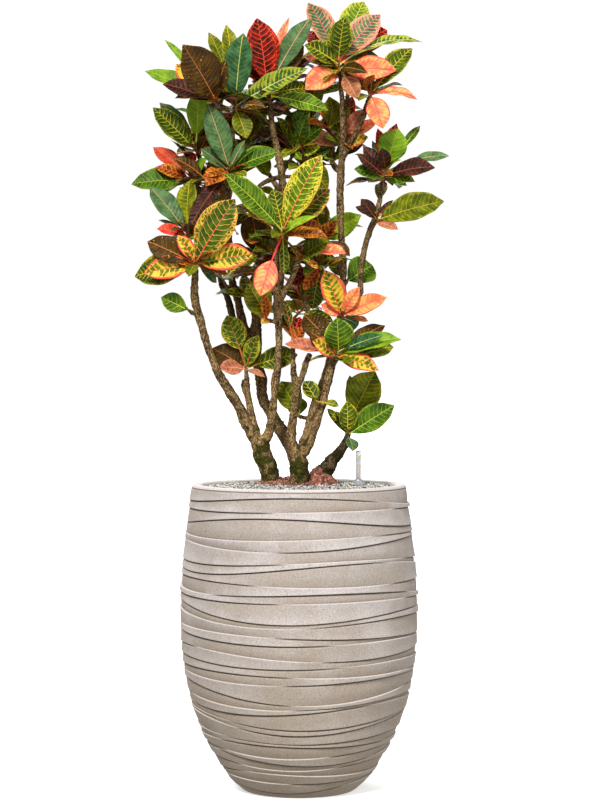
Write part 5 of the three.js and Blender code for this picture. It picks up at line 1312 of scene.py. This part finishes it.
@dataclass
class Trunk:
    """A trunk with all its branches: swept stems grown into one body, then barked."""

    name: str  # the key in STEMS, and the end of the CAD node's name
    shade: float  # how much darker the bark is than the front trunks'
    moss: tuple  # places [x, z, reach, amount] where moss grows, as seen from the front
    voxel: float = 1.7  # the skin's fineness in mm
    coarse: float = 2.6
    scar: tuple = (4.6, 2.5)  # an old leaf's scar, as half its width and half its height
    sides: int = 16

    def grown(self, stems: list[Sweep]) -> tuple[Array, Array, Array]:
        """Joins the stems into one skin.

        Args:
            stems: the swept branches.

        Returns:
            Points in mm, their normals, and quads.
        """
        draft = Draft()
        for one in stems:
            draft.add(*one.closed(self.sides))
        raw = draft.make("raw_stems", [])
        join = raw.modifiers.new("join", "REMESH")
        join.mode = "VOXEL"
        join.voxel_size = self.voxel * MM
        relax = raw.modifiers.new("relax", "SMOOTH")
        relax.iterations = 3
        bpy.context.view_layer.update()
        made = bpy.data.meshes.new_from_object(raw.evaluated_get(bpy.context.evaluated_depsgraph_get()))
        points, normals = (np.empty(len(made.vertices) * 3, np.float32) for _ in range(2))
        made.vertices.foreach_get("co", points)
        made.vertices.foreach_get("normal", normals)
        faces = [list(p.vertices) for p in made.polygons]
        bpy.data.objects.remove(raw)
        return points.reshape(-1, 3).astype(float) / MM, normals.reshape(-1, 3).astype(float), faces

    def placed(self, points: Array, stems: list[Sweep]) -> tuple[Array, ...]:
        """Finds where each point is on its nearest stem.

        Args:
            points: places in mm.
            stems: the swept branches.

        Returns:
            Number of the stem, way along it, angle round it, and its radius there.
        """
        best = np.full(len(points), np.inf)
        which, along, angle, radius = (np.zeros(len(points)) for _ in range(4))
        for number, one in enumerate(stems):
            for part in np.array_split(np.arange(len(points)), max(1, len(points) // 4000)):
                away = np.linalg.norm(points[part, None] - one.centres[None], axis=-1) - one.radius[None]
                i = np.argmin(away, axis=1)
                near = away[np.arange(len(part)), i]
                won = near < best[part]
                at, i = part[won], i[won]
                spoke = points[at] - one.centres[i]
                best[at] = near[won]
                which[at], radius[at] = number, one.radius[i]
                along[at] = one.along[i] + np.einsum("ij,ij->i", spoke, one.ahead[i])
                angle[at] = np.arctan2(np.einsum("ij,ij->i", spoke, one.over[i]),
                                       np.einsum("ij,ij->i", spoke, one.across[i]))
        return which, along, angle, radius

    def scars(self, stem: Sweep, number: int, along: Array, angle: Array,
              radius: Array) -> tuple[Array, Array]:
        """The scars of old leaves, in a spiral up one stem.

        Args:
            stem: the stem.
            number: its number, which turns the spiral.
            along: each point's way along it.
            angle: each point's angle round it.
            radius: its radius at each point.

        Returns:
            How far each point is lifted, and how dark it is.
        """
        lift, dark = np.zeros(len(along)), np.zeros(len(along))
        place, turn = 6.0, 0.7 * number
        while place < stem.along[-1]:
            near = np.flatnonzero(np.abs(along - place) < 9)
            round_by = (angle[near] - turn + math.pi) % math.tau - math.pi
            apart = np.hypot(round_by * radius[near] / self.scar[0], (along[near] - place) / self.scar[1])
            lift[near] += 0.8 * np.exp(-((apart - 1) ** 2) * 5) - 0.7 * np.exp(-(apart ** 2) * 2)
            lift[near] += 0.35 * np.exp(-(((along[near] - place) / 1.8) ** 2))
            dark[near] = np.maximum(dark[near], np.exp(-((apart - 1) ** 2) * 6) * 0.55)
            place += 9 + 0.9 * float(np.interp(place, stem.along, stem.radius))
            turn += math.radians(GOLDEN)
        return lift, dark

    def make(self, bark: Material) -> None:
        """Builds the trunk with its cracks, lumps, leaf scars and moss.

        Args:
            bark: the bark's material.
        """
        stems = [branch(path) for path in STEMS[self.name].values()]
        points, normals, faces = self.grown(stems)
        which, along, angle, radius = self.placed(points, stems)
        at = np.stack([radius * np.cos(angle), radius * np.sin(angle), along], axis=-1)
        at[:, 2] += which * 500  # so that each stem has a pattern of its own
        thick = np.clip(radius / 13, 0.4, 1.0)
        long = at * (1, 1, 0.5)
        crack = 0.6 * grain(long, 3.4, 21) + 0.5 * grain(long, 1.9, 22)
        lift = thick * (0.7 * crack + 1.1 * grain(at, 6, 23) + 2.3 * grain(at * (1, 1, 0.8), 17, 24) - 0.9)
        scarred = np.zeros(len(points))
        for number, one in enumerate(stems):
            mine = np.flatnonzero(which == number)
            more, dark = self.scars(one, number, along[mine], angle[mine], radius[mine])
            lift[mine] += more
            scarred[mine] = dark
        points = points + normals * lift[:, None]
        green = np.zeros(len(points))
        for x, z, reach, amount in self.moss:
            near = np.exp(-((points[:, 0] - x) ** 2 + ((points[:, 2] - z) * 0.7) ** 2) / reach ** 2)
            green = np.maximum(green, amount * near)
        green = ease(green + 0.75 * grain(points, 11, 31), 0.45, 0.85)
        tufts = np.maximum(grain(points, 2.6, 32), 0) + 1.4 * np.maximum(grain(points, 6, 34), 0)
        points = points + normals * (green * 1.5 * tufts)[:, None]
        crevice = np.maximum(ease(-crack, 0.35, 0.85) * 0.85, scarred)
        # Shade grows to the back and to the right, and in patches.
        shade = self.shade + 0.35 * ease(points[:, 1], 20, 90) + 0.25 * ease(grain(at, 60, 33), 0.1, 0.9)
        shade = shade + 0.4 * ease(normals[:, 0] + 0.4 * grain(points, 14, 35), 0.2, 0.9)
        on = np.stack([crevice, green, np.clip(shade, 0, 0.8)], axis=-1)
        draft = Draft()
        draft.add(points, faces, stem_at=at, stem_on=on)
        settle(draft.make(f"trunk_{self.name}_bark", [bark]), "bark", f"trunk_{self.name}")


# ------------------------------------------------------------------ leaves


@dataclass
class Leaf:
    """One leaf: where it starts and ends, which way it faces, and its finish."""

    root: Array  # where it leaves the twig
    tip: Array  # where it ends
    face: Array  # the direction of its upper side
    width: float  # at its broadest
    arch: float  # how far its middle stands up, as a share of its length
    stalk: float  # the stalk's share of its length
    kind: str  # its finish

    columns, tube = 13, 7  # points across the blade, and round the stalk
    crowding = 1.35  # how much closer they are near the rib
    row = 3.0  # mm from one row of points to the next

    def __post_init__(self) -> None:
        """Works out its directions."""
        self.reach = self.tip - self.root
        self.length = float(np.linalg.norm(self.reach))
        self.side = np.cross(self.face, self.reach / self.length)
        self.blade = self.length * (1 - self.stalk)

    def rib(self, share: Array) -> tuple[Array, Array]:
        """The midrib.

        Args:
            share: places along the leaf, from 0 to 1.

        Returns:
            Its points there, and the upward directions.
        """
        s = share[:, None]
        points = self.root + self.reach * s + self.face * (self.arch * self.length * 4) * s * (1 - s)
        normals = unit(np.cross(np.gradient(points, axis=0), self.side))
        return points, normals * np.sign(np.einsum("ij,j->i", normals, self.face))[:, None]

    def grow(self, draft: Draft, finish: int, rng: np.random.Generator) -> None:
        """Adds the blade, its rib and its stalk.

        Args:
            draft: the shoot's draft.
            finish: the number of the leaf's material.
            rng: the draws for its waves and its tint.
        """
        rows = int(np.clip(self.blade / self.row, 9, 44)) + 1
        t = np.linspace(0.012, 1, rows)
        # Broadest a little before the middle, and drawn out to a point.
        outline = np.sin(math.pi * t ** 1.06) ** 0.72 * (1 - 0.32 * ease(t, 0.82, 0.98))
        half = np.maximum(self.width / 2 * outline, 0.2)
        u = np.linspace(-1, 1, self.columns)
        s = np.sign(u) * np.abs(u) ** self.crowding
        out = np.abs(s)
        centre, normal = self.rib(self.stalk + (1 - self.stalk) * t)
        across = half[:, None] * s
        along = np.broadcast_to(self.blade * t[:, None], across.shape)
        twist = rng.uniform(-0.2, 0.2) * (t - 0.4)
        side = self.side * np.cos(twist)[:, None] + normal * np.sin(twist)[:, None]
        one, two = rng.uniform(0, math.tau, 2)
        turns = math.tau * along / rng.uniform(30, 52) + np.where(s < 0, one, two)
        waves = np.sin(turns) * out ** 2.4 * np.minimum(1.7, half * 0.08)[:, None]
        spacing = LeafKind[self.kind.upper()].value.spacing
        forward = along - np.abs(across) * (VEIN_LEAN + VEIN_BEND * out)
        vein = np.abs((forward / spacing + np.where(s > 0, 0.5, 0)) % 1 - 0.5) * 2
        quilt = 0.6 * (1 - vein ** 2) * np.sin(math.pi * out) * np.minimum(1, half / 14)[:, None]
        folded = rng.uniform(0.14, 0.42)
        droop = rng.uniform(0.0, 0.07) * self.blade * np.maximum(t - 0.45, 0)[:, None] ** 2 * 3
        lift = half[:, None] * folded * out ** 1.4 + waves + quilt - droop
        bed = centre[:, None] + side[:, None] * across[..., None] + normal[:, None] * lift[..., None]
        thick = (0.35 * (1 - 0.5 * out))[..., None] * normal[:, None]
        at = np.stack([along, across, np.broadcast_to(s, across.shape)], axis=-1)
        tint = rng.uniform(0, 1)
        on = np.stack([np.broadcast_to(v, across.shape) for v in (t[:, None], tint, 0.0)], axis=-1)
        number = np.arange(across.size).reshape(across.shape)
        edge = np.concatenate([number[0], number[1:, -1], number[-1, -2::-1], number[-2:0:-1, 0]])
        after = np.roll(edge, -1)
        border = np.stack([edge, edge + across.size, after + across.size, after], axis=-1)
        top = grid_faces(rows, self.columns, False)
        faces = np.concatenate([top, top[:, ::-1] + across.size, border])
        draft.add(np.concatenate([bed + thick, bed - thick]), faces, finish,
                  leaf_at=np.concatenate([at, at]), leaf_on=np.concatenate([on, on + (0, 0, 1)]))
        self.grow_stalk(draft, finish, tint)

    def grow_stalk(self, draft: Draft, finish: int, tint: float) -> None:
        """Adds the stalk, which runs on under the blade as its raised rib.

        Args:
            draft: the shoot's draft.
            finish: the number of the leaf's material.
            tint: the leaf's own tint.
        """
        under = self.stalk + (1 - self.stalk) * np.linspace(0.06, 0.94, 12)
        share = np.concatenate([np.linspace(0, self.stalk, 6), under])
        centre, normal = self.rib(share)
        station = np.maximum((share - self.stalk) / (1 - self.stalk), 0)
        radius = np.interp(share, [0, self.stalk, self.stalk + 0.1, 1], [2.2, 1.5, 1.15, 0.4])
        radius = radius * np.clip(self.length / 90, 0.55, 1.15)
        sink = np.where(station > 0, radius * 0.75, 0)
        angle = around(self.tube)[None, :, None]
        spoke = self.side * np.cos(angle) + normal[:, None] * np.sin(angle)
        rings = (centre - normal * sink[:, None])[:, None] + radius[:, None, None] * spoke
        at, on = np.zeros(rings.shape), np.zeros(rings.shape)
        at[..., 0] = (station * self.blade)[:, None]
        on[..., 0], on[..., 1], on[..., 2] = station[:, None] * 0.6, tint, 0.35
        draft.add(rings, tube_faces(len(share), self.tube), finish, leaf_at=at, leaf_on=on)


@dataclass(frozen=True)
class Shade:
    """Small leaves that fill a shoot's shade: a spiral of them, each with room round it."""

    tries: int  # how many places are tried
    most: int  # how many leaves may grow
    rises: tuple  # how steeply they stand, in degrees
    lengths: tuple  # their lengths
    front: tuple  # how far to the front a leaf points that is shortened, and to which share
    way: tuple  # from where to where on the twig they start
    forward: float  # how far their upper sides turn to the front
    middle: float  # a place along the leaf that has to have room, besides 0.45 and its tip
    room: float  # how far all other leaves have to be
    widths: tuple  # their widths, as shares of the length

    def leaves(self, rng: np.random.Generator, kinds: tuple, others: Array,
               on_twig: Callable[[float], Array], rooted: Callable[[Array, Array], Array]) -> Iterator[Leaf]:
        """The leaves, one after another.

        Args:
            rng: the draws for their places.
            kinds: finishes to draw from.
            others: points on other shoots' leaves.
            on_twig: gives a point on the twig at a share of its length.
            rooted: gives a leaf's root from that point and its tip.

        Yields:
            Each leaf.
        """
        turn, grown = rng.uniform(0, 360), 0
        limit, shorter = self.front
        for i in range(self.tries):
            outward, rise = level(math.radians(turn + GOLDEN * i)), math.radians(rng.uniform(*self.rises))
            length = rng.uniform(*self.lengths) * (shorter if outward[1] < limit else 1.0)
            centre = on_twig(rng.uniform(*self.way))
            tip = raised(centre, outward, rise, length)
            root = rooted(centre, tip)
            upward = UP + np.array([0, -self.forward, 0]) + 0.5 * rng.uniform(-1, 1, 3)
            face = squared(upward, unit(tip - root))
            spots = root + (tip - root) * np.array([[0.45], [self.middle], [1.0]])
            if grown < self.most and np.linalg.norm(others[:, None] - spots, axis=-1).min() > self.room:
                kind = kinds[int(rng.integers(len(kinds)))]
                yield Leaf(root, tip, face, length * rng.uniform(*self.widths), 0.08, 0.14, kind)
                grown += 1


@dataclass
class Shoot:
    """A leafy stem: its twig, its leaves as the CAD has bent them clear, and its growing tip."""

    name: str  # the CAD node's name without "leaves_"
    number: int  # its place in the table
    on: list  # the trunk and the branch that it ends
    twig: list  # its length and how far it leans right and away
    leaves: list  # rows of leaves that the photograph shows
    more: list | None = None  # leaves that are placed by rule

    # The places that the CAD tries for a leaf until it is clear: depths, and turns and lifts in degrees.
    depths = (0, -16, 16, -32, 32, -50, 50, -70, 70, -92, 92, -116, 116, -142, 142)
    turns = ((0, 0), (13, 0), (-13, 0), (0, 16), (0, -16), (26, 8), (-26, 8), (26, -10), (-26, -10), (40, 0),
             (-40, 0), (0, 32), (20, 30), (-20, 30), (54, 10), (-54, 10))
    first_leaf = 0.25  # where on the twig leaves begin
    past, deep = 1.6, 6  # how far behind and below the twig's axis a leaf's root lies
    rule_seed, seed, shade_seed = 5, 100, 500
    twig_radii = (4.6, 4.1, 3.6, 3.0)
    shade = Shade(16, 10, (-25, 50), (48, 88), (-0.3, 0.75), (-0.1, 0.8), 0.5, 0.7, 5, (0.34, 0.46))
    shaded = ("olive", "bronze", "gold_rib", "plum", "rust", "green")
    # The record's slots, where they aren't the last leaf's.
    cad_kinds = {"crown_right": "lime", "outer_top": "lime", "crown_fork": "olive", "middle_star": "rose_net",
                 "inner_star": "rose_net", "low_right_star": "gold_rib"}
    open_ones = ("single_leaf", "side_leaves", "front_side", "right_side", "right_node", "right_end",
                 "low_back", "right_behind", "middle_low", "coral_star", "inner_star")  # without shade leaves

    def __post_init__(self) -> None:
        """Places the twig on its branch's end and reads where the CAD's leaves end."""
        last, end = (sighted(x, z, depth) for x, z, depth, _ in STEMS[self.on[0]][self.on[1]][-2:])
        length, right, away = self.twig
        grown = unit(end - last)
        start = end + grown * GAP
        self.bend = start + grown * length * 0.3
        self.top = self.bend + unit(grown + np.array([right, away, 0.6])) * length * 0.7
        self.ahead = unit(self.top - self.bend)
        self.path = np.array([start, self.bend, self.top, self.top + self.ahead * 2])
        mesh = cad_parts[f"leaves_{self.name}"].data
        corners = np.empty(len(mesh.vertices) * 3, np.float32)
        mesh.vertices.foreach_get("co", corners)
        self.corners = corners.reshape(-1, 3).astype(float) / MM

    def on_twig(self, share: float) -> Array:
        """A point on the upper part of the twig."""
        return self.bend + (self.top - self.bend) * share

    def root(self, centre: Array, tip: Array) -> Array:
        """Where a leaf starts inside the twig.

        Args:
            centre: the point on the twig's axis that it belongs to.
            tip: where it ends.

        Returns:
            Its root.
        """
        outward = unit(tip - centre)
        rise = outward.dot(self.ahead)
        return centre - (outward - self.ahead * rise) * self.past - self.ahead * self.deep * rise

    def taken(self, choices: list[Leaf]) -> list[Leaf]:
        """Finds the place that the CAD took for a leaf.

        Args:
            choices: the places that it tried.

        Returns:
            The one whose tip is a corner of the CAD's solid, or none.
        """
        for leaf in choices:
            if np.min(np.linalg.norm(self.corners - leaf.tip, axis=1)) < 0.03:
                return [leaf]
        LOG.warning("%s has no leaf with its tip at %s", self.name, choices[0].tip.round(1))
        return []

    def read_leaf(self, row: list, share: float) -> list[Leaf]:
        """A leaf that is placed by its row in the table.

        Args:
            row: the row.
            share: where on the twig it grows.

        Returns:
            The leaf, or none.
        """
        x, z, away, seen, tilt, arch, stalk, kind = row
        centre, tilt = self.on_twig(share), math.radians(tilt)
        choices = []
        for shift in self.depths:
            tip = sighted(x, z, centre[1] + away + shift)
            root = self.root(centre, tip)
            along = unit(tip - root)
            to_eye = unit(-along * -along[1] + (0, -1, 0))
            up = np.cross(along, to_eye)
            up = -up if up[2] < 0 else up
            face = to_eye * math.cos(tilt) + up * math.sin(tilt)
            choices.append(Leaf(root, tip, face, seen / math.cos(tilt), arch / 100, stalk / 100, kind))
        return self.taken(choices)

    def ruled_leaves(self) -> list[Leaf]:
        """The leaves that are placed by rule, spread evenly over their bearings.

        Returns:
            The leaves.
        """
        draw = Draws(self.rule_seed + self.number)
        count, start, end, length, kinds = self.more
        made = []
        for i in range(count):
            part = (i + 0.5) / count
            bearing = start + part * (end - start) + 16 * (draw() - 0.5)
            rise = 20 + 48 * part + 12 * (draw() - 0.5)
            long = length * (0.8 + 0.4 * draw())
            width = long * 0.37 * (0.8 + 0.4 * draw())
            centre = self.on_twig(self.first_leaf + (1 - self.first_leaf) * part)
            lean = np.array([0.25 * (draw() - 0.5), 0.25 * (draw() - 0.5), 0])
            choices = []
            for turn, lift in self.turns:
                outward = level(math.radians(bearing + turn))
                tip = raised(centre, outward, math.radians(rise + lift), long)
                root = self.root(centre, tip)
                face = squared(UP - 0.6 * outward + lean, unit(tip - root))
                choices.append(Leaf(root, tip, face, width, 0.1, 0.15, kinds[i % len(kinds)]))
            made += self.taken(choices)
        return made

    def bud(self, rng: np.random.Generator, kinds: list[str]) -> list[Leaf]:
        """The small new leaves at the growing tip.

        Args:
            rng: the draws for their places.
            kinds: the shoot's finishes.

        Returns:
            The leaves.
        """
        made = []
        for i in range(3):
            outward = level(math.radians(GOLDEN) * i + 6 * rng.uniform())
            tip = self.top + (self.ahead * 0.9 + outward * rng.uniform(0.25, 0.6)) * rng.uniform(15, 27)
            face = squared(unit(self.ahead - outward * 0.8), unit(tip - self.top))
            made.append(Leaf(self.top - self.ahead * 2, tip, face, rng.uniform(5, 8), 0.1, 0.12,
                             kinds[i % len(kinds)]))
        return made

    def make(self, looks: dict[str, Material], others: Array) -> None:
        """Builds the shoot.

        Args:
            looks: the bark and the leaf materials by name.
            others: points on the leaves of all other shoots, which the shade leaves keep clear of.
        """
        rng = np.random.default_rng(self.seed + self.number)
        leaves = []
        for i, row in enumerate(self.leaves, 1):
            leaves += self.read_leaf(row, self.first_leaf + (1 - self.first_leaf) * i / len(self.leaves))
        if self.more:
            leaves += self.ruled_leaves()
        if self.name not in self.open_ones:
            draws = np.random.default_rng(self.shade_seed + self.number)
            leaves += self.shade.leaves(draws, self.shaded, others, self.on_twig, self.root)
        kinds = list(dict.fromkeys(leaf.kind for leaf in leaves))
        draft = Draft()
        add_twig(draft, Sweep(self.path, np.array(self.twig_radii), 2.0), 12, (0.1, 0.25, 0.12), 0.6)
        for leaf in leaves + self.bud(rng, kinds):
            leaf.grow(draft, 1 + kinds.index(leaf.kind), rng)
        last = self.leaves[-1][-1] if self.leaves else self.more[-1][0]
        piece = draft.make(f"shoot_{self.name}", [looks["bark"], *(looks[kind] for kind in kinds)])
        settle(piece, f"leaf_{self.cad_kinds.get(self.name, last)}", f"leaves_{self.name}")


@dataclass
class Spray:
    """A small shoot in the crown's shade, on a thin twig from the nearest branch below it."""

    number: int  # its place in the table
    top: Array  # its twig's end

    seed = 900
    under = 18  # how far below its top the twig starts at the least
    sag = 0.12  # how far the twig hangs in its middle, as a share of its length
    twig_radii = (4.2, 3.4, 2.4)
    shade = Shade(18, 8, (-12, 62), (52, 92), (-0.4, 0.7), (0.0, 0.25), 0.7, 0.75, 4, (0.36, 0.48))
    low = ("olive", "bronze", "gold_rib", "rust", "green", "rose_net", "olive")
    high = ("plum", "ember", "bronze", "olive")
    line = 1390  # the height that parts them

    def make(self, looks: dict[str, Material], branches: Array, others: Array) -> None:
        """Builds the twig and its leaves.

        Args:
            looks: the bark and the leaf materials by name.
            branches: points on the axes of all branches.
            others: points on the leaves of all shoots.
        """
        rng = np.random.default_rng(self.seed + self.number)
        below = branches[branches[:, 2] < self.top[2] - self.under]
        start = below[np.argmin(np.linalg.norm(below - self.top, axis=1))]
        way = self.top - start
        bend = start + way * 0.5 + np.array([0, 0, -self.sag * np.linalg.norm(way)])
        tones = self.high if self.top[2] > self.line else self.low
        kinds = list(dict.fromkeys(tones))
        draft = Draft()
        stem = Sweep(np.array([start, bend, self.top]), np.array(self.twig_radii), 2.0)
        add_twig(draft, stem, 10, (0.1, 0.15, 0.25))
        for leaf in self.shade.leaves(rng, tones, others, lambda share: self.top + (bend - self.top) * share,
                                      lambda centre, tip: centre):
            leaf.grow(draft, 1 + kinds.index(leaf.kind), rng)
        piece = draft.make(f"spray_{self.number}", [looks["bark"], *(looks[kind] for kind in kinds)])
        settle(piece, "leaf_olive")


# ------------------------------------------------------------------ camera, light and floor


@dataclass
class Studio:
    """A plain pale floor, soft light from all round and a camera at the photograph's angle."""

    lens: float = 105.75  # the camera's focal length, in mm for a sensor of 36 mm
    aim: tuple = (0.002, 0.0, 0.778)  # what it looks at, in metres
    reach: float = 60.0  # metres from the pot to the floor's edge
    rings: int = 12  # how many rings the floor has, finest near the pot
    dome: float = 0.3  # the brightness of the light from all round
    shown: float = 1.05  # how bright the camera sees it
    # Each lamp's name, strength, width in degrees and turn.
    lamps: tuple = (("key", 2.8, 14.0, (46.0, 0.0, -17.0)), ("fill", 1.0, 60.0, (60.0, 0.0, 40.0)),
                    ("back", 1.7, 40.0, (-50.0, 0.0, 24.0)))

    def camera(self) -> None:
        """Places the camera, upright and level from side to side."""
        data = bpy.data.cameras.new("camera")
        data.lens, data.sensor_width = self.lens, 36.0
        data.clip_end = 300.0
        eye = bpy.data.objects.new("camera", data)
        eye.location = EYE * MM
        ahead = np.array(self.aim) - EYE * MM
        eye.rotation_euler = (math.pi / 2 + math.atan2(ahead[2], ahead[1]), 0.0, 0.0)
        bpy.context.scene.collection.objects.link(eye)
        bpy.context.scene.camera = eye

    def floor(self) -> None:
        """Lays the floor, a wide disc of lit white acrylic that shows as the white ground."""
        material, node, link, shader = surface("lit_acrylic_floor", 0.9, Emission_Color=(1.0, 1.0, 1.0, 1.0),
                                         Emission_Strength=0.5)
        place = node("TexCoord", output="Object")
        cloud = node("TexNoise", {"Vector": place, "Scale": 1.5, "Detail": 2.0})
        colour = node("Mix", {0: cloud, 6: linear("#fbfbfa"), 7: linear("#f6f6f5")}, **COLOUR)
        link(colour, shader["Base Color"])
        rows = turned([(r / MM, -0.5) for r in np.geomspace(0.05, self.reach, self.rings)], 64)
        draft = Draft()
        draft.add(rows, grid_faces(self.rings, 64, True).tolist() + [list(range(64))[::-1]])
        floor = draft.make("floor", [material])
        floor.visible_diffuse = False  # so that it lights the pot from below no more than the dome does

    def light(self) -> None:
        """Hangs three broad soft lamps in an even, pale dome that a view shows as plain white."""
        for name, strength, spread, turn in self.lamps:
            data = bpy.data.lights.new(name, "SUN")
            data.energy, data.angle = strength, math.radians(spread)
            lamp = bpy.data.objects.new(name, data)
            lamp.rotation_euler = tuple(math.radians(t) for t in turn)
            bpy.context.scene.collection.objects.link(lamp)
        world = bpy.data.worlds.new("studio")
        world.use_nodes = True
        tree = world.node_tree
        seen = add(tree, "LightPath", output="Is Camera Ray")
        strength = add(tree, "Mix", {0: seen, 2: self.dome, 3: self.shown})
        background = tree.nodes["Background"].inputs
        background["Color"].default_value = (1.0, 1.0, 1.0, 1.0)
        tree.links.new(strength, background["Strength"])
        bpy.context.scene.world = world
        bpy.context.scene.view_settings.view_transform = "Standard"


def main() -> None:
    """Builds the camera, the pot, its planting, the plant and the studio, in that order."""
    logging.basicConfig(level=logging.INFO, format="%(message)s")
    studio = Studio()
    studio.camera()
    settle(Pot().make(), "pot_stone", "pot")
    planting = Planting()
    planting.make_granulate()
    planting.make_soil()
    Gauge().make()
    looks = {"bark": Bark().make()}
    for trunk in (
        Trunk("left", 0.0, ((-58, 640, 40, 1.0), (-76, 690, 30, 0.9), (-70, 730, 24, 0.7))),
        Trunk("back", 0.18, ((-10, 640, 26, 0.7),)),
        Trunk("middle", 0.05, ((-2, 640, 34, 0.9), (6, 690, 22, 0.7))),
        Trunk("right", 0.5, ((52, 630, 30, 1.0), (80, 670, 26, 0.8))),
    ):
        trunk.make(looks["bark"])
    looks |= {kind.name.lower(): kind.value.make(kind.name.lower()) for kind in LeafKind}
    shoots = [Shoot(name, number, *row) for number, (name, row) in enumerate(SHOOTS.items())]
    for shoot in shoots:
        shoot.make(looks, np.concatenate([one.corners for one in shoots if one is not shoot]))
    corners = np.concatenate([one.corners for one in shoots])
    branches = np.concatenate([branch(path).centres for stems in STEMS.values() for path in stems.values()])
    for number, place in enumerate(SPRAYS):
        Spray(number, sighted(*place)).make(looks, branches, corners)
    studio.floor()
    studio.light()


if __name__ == "__main__":
    main()
